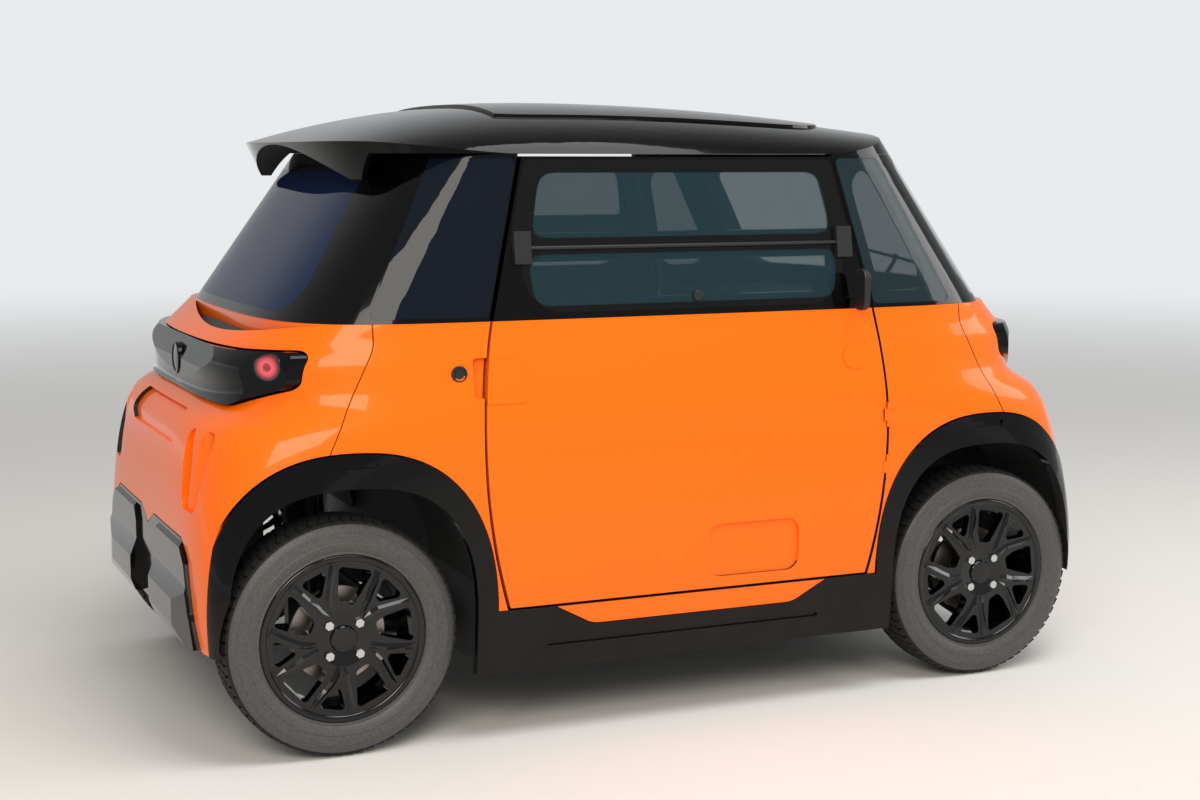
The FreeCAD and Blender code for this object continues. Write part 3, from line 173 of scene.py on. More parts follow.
def fine_bump(tree, shader, size, height, detail=2.0, strength=0.2):
    """Joins a fine uneven surface to a shader. size is the real distance between bumps."""
    place = add(tree, "ShaderNodeTexCoord")
    grain = add(tree, "ShaderNodeTexNoise", {"Vector": place.outputs["Object"], "Scale": 1 / size, "Detail": detail})
    bump = add(tree, "ShaderNodeBump", {"Height": grain.outputs["Fac"], "Distance": height, "Strength": strength})
    tree.links.new(bump.outputs[0], shader.inputs["Normal"])
    return grain


def road_dust(tree, shader, colour, most, rough):
    """Mixes dust into a finish below knee height, in soft patches about 60 mm across."""
    place = add(tree, "ShaderNodeTexCoord")
    parts = add(tree, "ShaderNodeSeparateXYZ", {0: place.outputs["Object"]})
    low = add(tree, "ShaderNodeMapRange", {"Value": parts.outputs["Z"], "From Min": 0.1, "From Max": DUST_TOP,
                                           "To Min": most, "To Max": 0.0})
    patch = add(tree, "ShaderNodeTexNoise", {"Vector": place.outputs["Object"], "Scale": 1 / (60 * MM), "Detail": 4.0})
    share = add(tree, "ShaderNodeMath", {0: low.outputs[0], 1: patch.outputs["Fac"]}, operation="MULTIPLY")
    tint = add(tree, "ShaderNodeMix", {0: share.outputs[0], 6: linear(colour), 7: linear(DUST_COLOUR)},
               data_type="RGBA")
    dull = add(tree, "ShaderNodeMath", {0: share.outputs[0], 1: 0.6, 2: rough}, operation="MULTIPLY_ADD")
    tree.links.new(tint.outputs[2], shader.inputs["Base Color"])
    tree.links.new(dull.outputs[0], shader.inputs["Roughness"])


# %% [markdown]
# Plastics cover most of the car. The orange and the black panels are ABS under clear film, so they mirror the
# lamps. The wheel liners are moulded polypropylene and the cabin parts are moulded with a fine grain, so they
# stay matt. Hinges, mirrors and the steering wheel are glass-filled nylon, which is satin. The back of a painted
# panel is bare. Each grain is drawn at its own size, from 0.9 to 2.5 mm from pit to pit.

# %% Plastics
ORANGE = "#FF6C08"
BLACK = "#030304"
# The film gives soft, clear highlights over a full, even colour.
panel_film, tree, shader = surface("orange ABS with gloss film", ORANGE, roughness=0.35, coat_weight=0.5,
                                   coat_roughness=0.03, coat_ior=1.35, specular_ior_level=0.1)
fine_bump(tree, shader, PEEL_SIZE, 0.02 * MM, strength=0.12)
road_dust(tree, shader, ORANGE, 0.10, 0.30)
# Nearly no colour of its own: the eye sees only sharp reflections.
black_film, tree, shader = surface("black ABS with piano gloss", BLACK, roughness=0.10, coat_weight=0.6,
                                   coat_roughness=0.015, coat_ior=1.30, specular_ior_level=0.1)
fine_bump(tree, shader, PEEL_SIZE, 0.01 * MM, strength=0.08)
road_dust(tree, shader, BLACK, 0.05, 0.10)
# Rough and dark, so the wheel wells stay quiet behind the tyres.
liner_plastic, tree, shader = surface("charcoal polypropylene liner", "#141414", roughness=0.75)
fine_bump(tree, shader, 2.5 * MM, 0.2 * MM, strength=0.6)
# A leather-like grain that softens the light inside the car.
cabin_plastic, tree, shader = surface("grey moulded cabin plastic", "#2E3032", roughness=0.55)
fine_bump(tree, shader, 1.5 * MM, 0.06 * MM, strength=0.5)
# Short glass fibres leave a satin skin with a faint sparkle.
fitting_plastic, tree, shader = surface("glass-filled nylon fittings", "#17181A", roughness=0.42)
fine_bump(tree, shader, 0.9 * MM, 0.03 * MM, strength=0.4)
# The bare back of a panel, seen when a door is open.
inner_plastic, tree, shader = surface("unpainted inner panel face", "#1B1C1D", roughness=0.7)
fine_bump(tree, shader, 2.0 * MM, 0.1 * MM, strength=0.4)
print("plastics ready")

# %% [markdown]
# The metals are the wheels, the brake discs, the bolts and the frame. Wheel paint is a deep gloss black. A disc
# is turned steel, whose tool marks are about half a millimetre apart. They are drawn three times coarser, as a
# fine grain, so that they show. Zinc plating is bright and a little uneven, and a cast housing is dull and pitted.

# %% Metals
wheel_paint, tree, shader = surface("gloss black wheel paint", BLACK, roughness=0.14, coat_weight=0.8,
                                    coat_roughness=0.02, coat_ior=1.4, specular_ior_level=0.2)
fine_bump(tree, shader, PEEL_SIZE, 0.01 * MM, strength=0.1)
steel, tree, shader = surface("turned brake steel", "#A39B92", roughness=0.38, metallic=1.0)
fine_bump(tree, shader, 1.5 * MM, 0.05 * MM, strength=0.4)
zinc, tree, shader = surface("zinc plated bolt steel", "#C9CCCE", roughness=0.28, metallic=1.0)
fine_bump(tree, shader, 1.0 * MM, 0.02 * MM, strength=0.3)
frame_paint, tree, shader = surface("black chassis paint", "#131415", roughness=0.45)
fine_bump(tree, shader, 4.0 * MM, 0.1 * MM, strength=0.4)
cast_metal, tree, shader = surface("cast aluminium housing", "#8D9093", roughness=0.5, metallic=1.0)
fine_bump(tree, shader, 1.5 * MM, 0.1 * MM, strength=0.5)
print("metals ready")

# %% [markdown]
# Rubber and cloth hold no mirror image at all. A tyre's tread is black and rough. Its wall is smoother and greyed
# by dust, in soft patches. Seat cloth is woven: crossing threads about 2 mm apart, drawn as two sets of waves.

# %% Rubber and cloth
WEAVE = 2.2 * MM
tread_rubber, tree, shader = surface("tread rubber", "#151515", roughness=0.85)
fine_bump(tree, shader, 1.6 * MM, 0.15 * MM, strength=0.6)
wall_rubber, tree, shader = surface("dusty tyre wall rubber", "#3A3938", roughness=0.5)
grain = fine_bump(tree, shader, 5.0 * MM, 0.05 * MM, strength=0.3)
dusty = add(tree, "ShaderNodeMix", {0: grain.outputs["Fac"], 6: linear("#2C2B2B"), 7: linear("#5A5856")},
            data_type="RGBA")
tree.links.new(dusty.outputs[2], shader.inputs["Base Color"])
seat_cloth, tree, shader = surface("woven seat cloth", "#25272B", roughness=0.92, sheen_weight=0.35)
place = add(tree, "ShaderNodeTexCoord")
threads = [add(tree, "ShaderNodeTexWave", {"Vector": place.outputs["Object"], "Scale": 0.32 / WEAVE,
                                           "Distortion": 0.6}, bands_direction=way) for way in ("Y", "Z")]
weave = add(tree, "ShaderNodeMath", {0: threads[0].outputs["Fac"], 1: threads[1].outputs["Fac"]}, operation="MULTIPLY")
woven = add(tree, "ShaderNodeMix", {0: weave.outputs[0], 6: linear("#15161A"), 7: linear("#3B3E44")},
            data_type="RGBA")
relief = add(tree, "ShaderNodeBump", {"Height": weave.outputs[0], "Distance": 0.6 * MM, "Strength": 0.5})
tree.links.new(woven.outputs[2], shader.inputs["Base Color"])
tree.links.new(relief.outputs[0], shader.inputs["Normal"])
print("rubber and cloth ready")

# %% [markdown]
# Safety glass here is a thin tinted pane: mostly see-through, with a mirror image on top. The panes carry a black
# ceramic band round their edge, baked on to hide the glue. A mask drawn from the pane's real place splits a pane
# into band and clear glass. The mask needs only straight edges: distances to four lines, with the least one kept.

# %% Glass
EDGE_SOFT = 0.6 * MM
CORNER_SOFT = 60 * MM
RIPPLE_SIZE = 90 * MM
# Two clear areas in the door's panes: low z, high z, rear x and front x at low z, rear x and front x at high z.
DOOR_CLEAR_AREAS = ((1.172, 1.322, -0.400, 0.400, -0.372, 0.372), (1.016, 1.134, -0.400, 0.400, -0.412, 0.412))


def glass(name, colour, alpha, windows=(), band_colour="#060607", index=1.38):
    """Tinted glass. windows holds the clear areas of a pane whose edge is a baked black band."""
    material, tree, shader = surface(name, colour, roughness=0.02, ior=index, alpha=alpha)
    place = add(tree, "ShaderNodeTexCoord")
    ripple = add(tree, "ShaderNodeTexNoise", {"Vector": place.outputs["Object"], "Scale": 1 / RIPPLE_SIZE})
    bump = add(tree, "ShaderNodeBump", {"Height": ripple.outputs["Fac"], "Distance": 0.2 * MM, "Strength": 0.1})
    tree.links.new(bump.outputs[0], shader.inputs["Normal"])
    if not windows:
        return material
    parts = add(tree, "ShaderNodeSeparateXYZ", {0: place.outputs["Object"]})
    clear = None
    for low, high, rear_low, front_low, rear_high, front_high in windows:
        rise = add(tree, "ShaderNodeMapRange", {"Value": parts.outputs["Z"], "From Min": low, "From Max": high},
                   clamp=False)
        inside = None
        for start, end, sign in ((rear_low, rear_high, 1), (front_low, front_high, -1)):
            line = add(tree, "ShaderNodeMath", {0: rise.outputs[0], 1: end - start, 2: start},
                       operation="MULTIPLY_ADD")
            gap = add(tree, "ShaderNodeMath", {0: parts.outputs["X"], 1: line.outputs[0]}, operation="SUBTRACT")
            side = add(tree, "ShaderNodeMath", {0: gap.outputs[0], 1: sign}, operation="MULTIPLY")
            inside = side if inside is None else add(tree, "ShaderNodeMath", {0: inside.outputs[0],
                                                     1: side.outputs[0], 2: CORNER_SOFT}, operation="SMOOTH_MIN")
        above = add(tree, "ShaderNodeMath", {0: parts.outputs["Z"], 1: low}, operation="SUBTRACT")
        below = add(tree, "ShaderNodeMath", {0: high, 1: parts.outputs["Z"]}, operation="SUBTRACT")
        for edge in (above, below):
            inside = add(tree, "ShaderNodeMath", {0: inside.outputs[0], 1: edge.outputs[0], 2: CORNER_SOFT},
                         operation="SMOOTH_MIN")
        clear = inside if clear is None else add(tree, "ShaderNodeMath", {0: clear.outputs[0], 1: inside.outputs[0]},
                                                 operation="MAXIMUM")
    edge = add(tree, "ShaderNodeMapRange", {"Value": clear.outputs[0], "From Min": -EDGE_SOFT,
                                            "From Max": EDGE_SOFT})
    tint = add(tree, "ShaderNodeMix", {0: edge.outputs[0], 6: linear(band_colour), 7: linear(colour)},
               data_type="RGBA")
    fade = add(tree, "ShaderNodeMapRange", {"Value": edge.outputs[0], "To Min": 1.0, "To Max": alpha})
    tree.links.new(tint.outputs[2], shader.inputs["Base Color"])
    tree.links.new(fade.outputs[0], shader.inputs["Alpha"])
    return material


# A green-blue tint, half clear, so that the seats show through the door.
door_pane = glass("tinted door glass with ceramic band", "#203A42", 0.50, DOOR_CLEAR_AREAS)
front_quarter = glass("tinted front quarter glass", "#22343A", 0.55)
# Rear panes are almost opaque, so they read as dark blue mirrors. The tail window's dark blue is a painted reflection
# of the sky.
privacy_glass = glass("privacy glass", "#0B121D", 0.95, index=1.3)
screen_glass = glass("laminated windscreen", "#2A3E40", 0.30)
tail_glass_painted_sky = glass("tail window with painted sky reflection", "#0E1F42", 0.97, index=1.25)
# A clear lens shows the bowls behind it. A red one glows where light passes its dimples.
lens_clear = glass("clear polycarbonate lens", "#C4CACC", 0.30)
lens_red, tree, shader = surface("red acrylic lens", "#C21A1E", roughness=0.06, coat_weight=1.0, alpha=0.85)
fine_bump(tree, shader, 6.0 * MM, 0.3 * MM, strength=0.4)
print("glass ready")

# %% [markdown]
# Each CAD piece takes one finish by its name. Some need a second one on part of their faces: a panel's inner face
# is bare plastic, a brake disc is one solid with its wheel, and the rear side windows are darker than the front
# ones. A rule per piece looks at each face's middle and its normal and picks the finish.

# %% Finishes for the CAD pieces
finishes = {
    "side_trim": black_film, "side_panels": panel_film, "door_panel": panel_film, "door_frame": black_film,
    "door_glass": door_pane, "door_fittings": fitting_plastic, "knuckle": cast_metal, "tyre": wall_rubber,
    "rim": wheel_paint, "front_fascia": panel_film, "rear_fascia": panel_film, "front_mask": black_film,
    "rear_mask": black_film, "front_lamps": lens_clear, "tail_lamps": lens_red, "front_bumper": black_film,
    "rear_bumper": black_film, "body_frame": cabin_plastic, "wheel_liners": liner_plastic,
    "rear_frame": black_film, "cabin_frame": black_film, "windscreen": screen_glass, "rear_window": tail_glass_painted_sky,
    "quarter_glass": front_quarter, "roof": black_film, "floor_pan": cabin_plastic, "chassis_frame": frame_paint,
    "drive_block": cast_metal, "front_suspension": frame_paint, "rear_axle": frame_paint,
    "dashboard": cabin_plastic, "steering_column": fitting_plastic, "steering_wheel": fitting_plastic,
    "seat_shells": fitting_plastic, "seat_cushions": seat_cloth,
}
WHEEL_PLACES = {"front": 0.865, "rear": -0.865}
HUB_HEIGHT = 0.276
HUB_OUT = 0.572
BODY_MIDDLE = (0, 0, 0.75)
BODY_REACH = (1.178, 0.691, 0.9)
DISC_RADII = (0.045, 0.1135)
DISC_DEPTHS = (0.003, 0.014)


def faces_in(middle, normal):
    """True where a panel's face looks towards the cabin."""
    centre = Vector(BODY_MIDDLE)
    outward = Vector([(middle[i] - centre[i]) / BODY_REACH[i] ** 2 for i in range(3)]).normalized()
    return normal.dot(outward) < -0.25


def on_disc(middle, normal):
    """True on the turned faces of a brake disc."""
    x = WHEEL_PLACES["front" if middle.x > 0 else "rear"]
    radius = math.hypot(middle.x - x, middle.z - HUB_HEIGHT)
    out = abs(middle.y) - HUB_OUT
    return DISC_RADII[0] < radius < DISC_RADII[1] and DISC_DEPTHS[0] < out < DISC_DEPTHS[1]


def at_rear(middle, normal):
    return middle.x < 0


second = {"side_panels": (inner_plastic, faces_in), "door_panel": (inner_plastic, faces_in),
          "front_fascia": (inner_plastic, faces_in), "rear_fascia": (inner_plastic, faces_in),
          "roof": (inner_plastic, faces_in), "side_trim": (inner_plastic, faces_in),
          "door_frame": (inner_plastic, faces_in), "cabin_frame": (inner_plastic, faces_in),
          "rim": (steel, on_disc), "quarter_glass": (privacy_glass, at_rear)}
for name, item in nodes.items():
    stem = max((stem for stem in finishes if name.startswith(stem)), key=len)
    item.data.materials.clear()
    item.data.materials.append(finishes[stem])
    for key, (finish, rule) in second.items():
        if name.startswith(key):
            item.data.materials.append(finish)
            for face in item.data.polygons:
                face.material_index = 1 if rule(face.center, face.normal) else 0
print(len(nodes), "pieces have a finish")

# %% [markdown]
# New pieces are plain meshes whose object sits at the origin. A turned piece, such as a tyre or a lamp ring, is an
# outline of radius and depth carried round an axis. One function makes them all, for any axis.

# %% Turned pieces
AXES = {"x": (Vector((1, 0, 0)), Vector((0, 1, 0)), Vector((0, 0, 1))),
        "y": (Vector((0, 1, 0)), Vector((0, 0, 1)), Vector((1, 0, 0)))}


def piece(name, vertices, faces, materials, body, smooth=True):
    """A finished mesh that rides on a body."""
    mesh = bpy.data.meshes.new(name)
    mesh.from_pydata(vertices, [], faces)
    work = bmesh.new()
    work.from_mesh(mesh)
    bmesh.ops.remove_doubles(work, verts=work.verts, dist=1e-6)
    bmesh.ops.recalc_face_normals(work, faces=work.faces)
    work.to_mesh(mesh)
    work.free()
    for material in materials:
        mesh.materials.append(material)
    for face in mesh.polygons:
        face.use_smooth = smooth
    item = bpy.data.objects.new(name, mesh)
    scene.collection.objects.link(item)
    if body:
        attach(item, body)
    return item


def turned_mesh(outline, centre, axis, sign=1, steps=64):
    """Vertices and faces of a closed outline of (radius, depth) points carried round an axis."""
    along, up, side = AXES[axis]
    vertices, faces = [], []
    count = len(outline)
    for step in range(steps):
        angle = 2 * math.pi * step / steps
        spoke = up * math.cos(angle) + side * math.sin(angle)
        vertices += [centre + spoke * radius + along * (depth * sign) for radius, depth in outline]
    for step in range(steps):
        here, after = step * count, (step + 1) % steps * count
        for index in range(count):
            follow = (index + 1) % count
            faces.append((here + index, here + follow, after + follow, after + index))
    return vertices, faces


def sharpen(item, degrees=32):
    """Keeps creases crisp on a smooth-shaded piece."""
    work = bmesh.new()
    work.from_mesh(item.data)
    for edge in work.edges:
        if len(edge.link_faces) == 2 and edge.calc_face_angle(0) > math.radians(degrees):
            edge.smooth = False
    work.to_mesh(item.data)
    work.free()


# %% [markdown]
# A tyre's tread is a rule: the same few blocks repeated round the wheel, in rows. Geometry Nodes place them. Each
# row is a line of points bent into a circle, with a block on each point, and the rows at the shoulders are
# slanted. The carcass under the blocks is turned from an outline, with the grooves between rows cut in.

# %% Tread tree
TREAD_RADIUS = 0.2756
GROOVE_RADIUS = 0.2685


def group_input(tree, name, kind, value):
    socket = tree.interface.new_socket(name=name, in_out="INPUT", socket_type=kind)
    socket.default_value = value
    return socket.identifier


def grown(name, tree, values, body, smooth=False):
    """Runs a node tree on an empty mesh and returns the result as a plain piece."""
    host = bpy.data.objects.new(name + "_host", bpy.data.meshes.new(name + "_host"))
    scene.collection.objects.link(host)
    modifier = host.modifiers.new("grow", "NODES")
    modifier.node_group = tree
    for identifier, value in values.items():
        modifier[identifier] = value
    bpy.context.view_layer.update()
    mesh = bpy.data.meshes.new_from_object(host.evaluated_get(bpy.context.evaluated_depsgraph_get()))
    host.modifiers.remove(modifier)
    bpy.data.objects.remove(host)
    mesh.name = name
    for face in mesh.polygons:
        face.use_smooth = smooth
    item = bpy.data.objects.new(name, mesh)
    scene.collection.objects.link(item)
    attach(item, body)
    return item


def ring_tree(name, finish):
    """Blocks on a ring round a Y axis: rows side by side, each turned by its own phase."""
    tree = bpy.data.node_groups.new(name, "GeometryNodeTree")
    ids = {}
    for label, kind, value in (("Radius", "NodeSocketFloat", 0.27), ("Count", "NodeSocketInt", 60),
                               ("Offset", "NodeSocketFloat", 0.0), ("Phase", "NodeSocketFloat", 0.0),
                               ("Length", "NodeSocketFloat", 0.02), ("Width", "NodeSocketFloat", 0.02),
                               ("Height", "NodeSocketFloat", 0.01), ("Slant", "NodeSocketFloat", 0.0),
                               ("Tip", "NodeSocketFloat", 0.0),
                               ("Centre", "NodeSocketVector", (0.0, 0.0, 0.0))):
        ids[label] = group_input(tree, label, kind, value)
    tree.interface.new_socket(name="Mesh", in_out="OUTPUT", socket_type="NodeSocketGeometry")
    source = add(tree, "NodeGroupInput")
    points = add(tree, "GeometryNodeMeshLine", {"Count": source.outputs["Count"]})
    index = add(tree, "GeometryNodeInputIndex")
    place = add(tree, "ShaderNodeMath", {0: index.outputs[0], 1: source.outputs["Phase"]}, operation="ADD")
    share = add(tree, "ShaderNodeMath", {0: place.outputs[0], 1: source.outputs["Count"]}, operation="DIVIDE")
    angle = add(tree, "ShaderNodeMath", {0: share.outputs[0], 1: 2 * math.pi}, operation="MULTIPLY")
    reach = []
    for function in ("SINE", "COSINE"):
        wave = add(tree, "ShaderNodeMath", {0: angle.outputs[0]}, operation=function)
        reach.append(add(tree, "ShaderNodeMath", {0: wave.outputs[0], 1: source.outputs["Radius"]},
                         operation="MULTIPLY"))
    spot = add(tree, "ShaderNodeCombineXYZ", {"X": reach[0].outputs[0], "Y": source.outputs["Offset"],
                                              "Z": reach[1].outputs[0]})
    bent = add(tree, "GeometryNodeSetPosition", {"Geometry": points.outputs[0], "Position": spot.outputs[0]})
    size = add(tree, "ShaderNodeCombineXYZ", {"X": source.outputs["Length"], "Y": source.outputs["Width"],
                                              "Z": source.outputs["Height"]})
    block = add(tree, "GeometryNodeMeshCube", {"Size": size.outputs[0]})
    twist = add(tree, "ShaderNodeCombineXYZ", {"X": source.outputs["Tip"], "Z": source.outputs["Slant"]})
    slanted = add(tree, "GeometryNodeTransform", {"Geometry": block.outputs[0], "Rotation": twist.outputs[0]})
    turn = add(tree, "ShaderNodeCombineXYZ", {"Y": angle.outputs[0]})
    facing = add(tree, "FunctionNodeEulerToRotation", {0: turn.outputs[0]})
    placed = add(tree, "GeometryNodeInstanceOnPoints", {"Points": bent.outputs[0], "Instance": slanted.outputs[0],
                                                        "Rotation": facing.outputs[0]})
    real = add(tree, "GeometryNodeRealizeInstances", {"Geometry": placed.outputs[0]})
    moved = add(tree, "GeometryNodeTransform", {"Geometry": real.outputs[0], "Translation": source.outputs["Centre"]})
    painted = add(tree, "GeometryNodeSetMaterial", {"Geometry": moved.outputs[0], "Material": finish})
    add(tree, "NodeGroupOutput", {0: painted.outputs[0]})
    return tree, ids


tread_tree, tread_ids = ring_tree("tread blocks", tread_rubber)
print("tread tree has", len(tread_tree.nodes), "nodes")

# %% [markdown]
# Each tyre is the turned carcass plus five rows of blocks. They become pieces of the same wheel, and stand for the
# plain CAD tyre, which is hidden.

# %% Tyres
WALL_OUTLINE = [(0.1766, 0.046), (0.186, 0.052), (0.193, 0.0655), (0.1965, 0.0705), (0.2015, 0.0695),
                (0.206, 0.0725), (0.216, 0.0762), (0.222, 0.0772), (0.2235, 0.0762), (0.234, 0.0766),
                (0.246, 0.0757), (0.2475, 0.0742), (0.256, 0.0722), (0.264, 0.0675), (GROOVE_RADIUS, 0.0615)]
TREAD_START = 0.2600
# Each row: name, distance from the tyre's middle, phase, blocks, length, width, slant, tip, drop below the crown.
TREAD_ROWS = [("rib", 0.0, 0.0, 66, 0.0200, 0.0210, 0.25, 0.0, 0.0000),
              ("inner_a", 0.0265, 0.3, 66, 0.0200, 0.0215, -0.35, -0.03, 0.0004),
              ("inner_b", -0.0265, 0.8, 66, 0.0200, 0.0215, -0.35, 0.03, 0.0004),
              ("edge_a", 0.0525, 0.1, 66, 0.0185, 0.0250, 0.18, -0.20, 0.0032),
              ("edge_b", -0.0525, 0.6, 66, 0.0185, 0.0250, 0.18, 0.20, 0.0032)]
BLOCK_HEIGHT = 0.0082
BLOCK_SINK = 0.0006
TYRE_STEPS = 96


def dress_tyre(end, side):
    name = end + "_" + side
    body = "wheel_" + name
    sign = 1 if side == "left" else -1
    centre = Vector((WHEEL_PLACES[end], sign * HUB_OUT, HUB_HEIGHT))
    outline = WALL_OUTLINE + [(radius, -out) for radius, out in reversed(WALL_OUTLINE)]
    vertices, faces = turned_mesh(outline, centre, "y", sign, TYRE_STEPS)
    carcass = piece("carcass_" + name, vertices, faces, [wall_rubber, tread_rubber], body)
    for face in carcass.data.polygons:
        offset = face.center - centre
        if math.hypot(offset.x, offset.z) > TREAD_START:
            face.material_index = 1
    sharpen(carcass, 30)
    items = [carcass]
    for row, offset, phase, count, length, width, slant, tip, drop in TREAD_ROWS:
        radius = TREAD_RADIUS - BLOCK_HEIGHT / 2 - drop - BLOCK_SINK
        items.append(grown("tread_" + row + "_" + name, tread_tree,
                           {tread_ids["Radius"]: radius, tread_ids["Count"]: count, tread_ids["Offset"]: offset,
                            tread_ids["Phase"]: phase, tread_ids["Length"]: length, tread_ids["Width"]: width,
                            tread_ids["Height"]: BLOCK_HEIGHT, tread_ids["Slant"]: slant, tread_ids["Tip"]: tip,
                            tread_ids["Centre"]: centre}, body))
    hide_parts("tyre_" + name)
    return items


for end in WHEEL_PLACES:
    for side in ("right", "left"):
        made = dress_tyre(end, side)
        print("tyre", end, side, sum(len(item.data.polygons) for item in made), "faces")

# %% [markdown]
# The wheel bolts are a ring too: four hexagon heads on a 100 mm circle. The hub's cap is a plain turned disc.

# %% Bolts and hub caps
BOLT_CIRCLE = 0.050
BOLT_OUT = 0.0772
HEAD_RADIUS = 0.0106
HEAD_DEPTH = 0.008


def bolt_tree():
    """Hexagon heads on a circle round a Y axis."""
    tree = bpy.data.node_groups.new("wheel bolts", "GeometryNodeTree")
    ids = {label: group_input(tree, label, kind, value)
           for label, kind, value in (("Count", "NodeSocketInt", 4), ("Circle", "NodeSocketFloat", BOLT_CIRCLE),
                                      ("Head", "NodeSocketFloat", HEAD_RADIUS),
                                      ("Depth", "NodeSocketFloat", HEAD_DEPTH),
                                      ("Centre", "NodeSocketVector", (0.0, 0.0, 0.0)))}
    tree.interface.new_socket(name="Mesh", in_out="OUTPUT", socket_type="NodeSocketGeometry")
    source = add(tree, "NodeGroupInput")
    circle = add(tree, "GeometryNodeMeshCircle", {"Vertices": source.outputs["Count"],
                                                  "Radius": source.outputs["Circle"]})
    head = add(tree, "GeometryNodeMeshCylinder", {"Vertices": 6, "Radius": source.outputs["Head"],
                                                  "Depth": source.outputs["Depth"]})
    placed = add(tree, "GeometryNodeInstanceOnPoints", {"Points": circle.outputs[0], "Instance": head.outputs[0]})
    real = add(tree, "GeometryNodeRealizeInstances", {"Geometry": placed.outputs[0]})
    upright = add(tree, "GeometryNodeTransform", {"Geometry": real.outputs[0],
                                                  "Rotation": (math.pi / 2, math.pi / 4, 0.0),
                                                  "Translation": source.outputs["Centre"]})
    painted = add(tree, "GeometryNodeSetMaterial", {"Geometry": upright.outputs[0], "Material": zinc})
    add(tree, "NodeGroupOutput", {0: painted.outputs[0]})
    return tree, ids


bolts, bolt_ids = bolt_tree()
CAP_OUTLINE = [(0.0, 0.058), (0.030, 0.058), (0.0305, 0.0690), (0.0285, 0.0712), (0.024, 0.0718), (0.0, 0.0722)]
for end, x in WHEEL_PLACES.items():
    for side, sign in (("right", -1), ("left", 1)):
        name = end + "_" + side
        bolt_centre = (x, sign * (HUB_OUT + BOLT_OUT - HEAD_DEPTH / 2), HUB_HEIGHT)
        grown("bolts_" + name, bolts, {bolt_ids["Centre"]: bolt_centre}, "wheel_" + name)
        vertices, faces = turned_mesh(CAP_OUTLINE, Vector((x, sign * HUB_OUT, HUB_HEIGHT)), "y", sign, 48)
        cap = piece("hub_cap_" + name, vertices, faces, [wheel_paint], "wheel_" + name)
        sharpen(cap)
print("bolts and caps placed")

# %% [markdown]
# A cast wheel is strong where its spokes are thick, so each arm has a ridge that forks with it towards the rim.
# The sloping sides of the ridges catch the light, and that is what makes a black wheel read as a shape. The packed
# wheel has the openings. The ridges and the rolled lip lie on its face, along the same bearings as its arms.

# %% Spoke ridges and rim lip
ARMS = 5
SWIRL = 12.0
BARREL = 0.176
# Along a ridge: share of the barrel's radius, degrees from the arm's middle, distance out, half width.
RIDGE_PATH = ((0.36, 6.0, 0.0708, 0.0090), (0.47, 8.0, 0.0705, 0.0088), (0.58, 9.5, 0.0700, 0.0082),
              (0.70, 13.0, 0.0695, 0.0078), (0.84, 15.5, 0.0688, 0.0086), (0.975, 17.5, 0.0680, 0.0110))
RIDGE_RISE = 0.0048
RIDGE_ROOT = -0.004
RIDGE_END_SHARE = 0.25
LIP = [(0.1780, 0.0600), (0.1785, 0.0670), (0.1830, 0.0692), (0.1895, 0.0702), (0.1935, 0.0685), (0.1945, 0.0620)]


def ridge_mesh(turn, side_sign, centre, sign):
    """One ridge of a fork: a roof-shaped bar along shares of the barrel's radius."""
    spine = []
    for share, spread, out, half_width in RIDGE_PATH:
        bearing = math.radians(turn + 180.0 / ARMS + side_sign * spread + SWIRL * share)
        radius = BARREL * share
        spine.append((Vector((radius * math.sin(bearing), radius * math.cos(bearing))), out, half_width))
    vertices = []
    for index, (spot, out, half_width) in enumerate(spine):
        ahead = spine[min(index + 1, len(spine) - 1)][0] - spine[max(index - 1, 0)][0]
        across = Vector((-ahead.y, ahead.x)).normalized()
        rise = RIDGE_RISE * (RIDGE_END_SHARE if index in (0, len(spine) - 1) else 1.0)
        for shift, height in ((-1.0, RIDGE_ROOT), (-0.9, 0.0), (0.12 * side_sign, rise), (0.9, 0.0),
                              (1.0, RIDGE_ROOT)):
            flat = spot + across * half_width * shift
            vertices.append(centre + Vector((-sign * flat.x, sign * (out + height), flat.y)))
    faces = []
    for index in range(len(spine) - 1):
        for edge in range(5):
            here, follow = index * 5 + edge, index * 5 + (edge + 1) % 5
            faces.append((here, follow, follow + 5, here + 5))
    faces += [tuple(range(5)), tuple(range(len(vertices) - 1, len(vertices) - 6, -1))]
    return vertices, faces


for end, x in WHEEL_PLACES.items():
    for side, sign in (("right", -1), ("left", 1)):
        centre = Vector((x, sign * HUB_OUT, HUB_HEIGHT))
        vertices, faces = [], []
        for arm in range(ARMS):
            for side_sign in (-1, 1):
                points, bars = ridge_mesh(360.0 / ARMS * arm, side_sign, centre, sign)
                faces += [tuple(v + len(vertices) for v in face) for face in bars]
                vertices += points
        piece("spoke_ridges_" + end + "_" + side, vertices, faces, [wheel_paint], "wheel_" + end + "_" + side,
              smooth=False)
        vertices, faces = turned_mesh(LIP, centre, "y", sign, 96)
        piece("rim_lip_" + end + "_" + side, vertices, faces, [wheel_paint], "wheel_" + end + "_" + side)
print("ridges and lips on", ARMS * 2, "spokes a wheel")

# %% [markdown]
# Small fittings sit on curved panels. Instead of guessing the depth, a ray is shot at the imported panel, and the
# point where it lands says where the fitting goes.

# %% Landing points on the panels
def landing(stem, start, way):
    """The nearest point where a ray from start meets the CAD pieces whose names begin with stem."""
    best = None
    for name, item in nodes.items():
        if not name.startswith(stem):
            continue
        tree = BVHTree.FromPolygons([v.co for v in item.data.vertices], [f.vertices for f in item.data.polygons])
        spot, normal, index, distance = tree.ray_cast(Vector(start), Vector(way))
        if spot is not None and (best is None or distance < best[1]):
            best = (spot, distance)
    return best[0]


print("screen at mid height", [round(v, 4) for v in landing("windscreen", (3, 0, 1.15), (-1, 0, 0))])

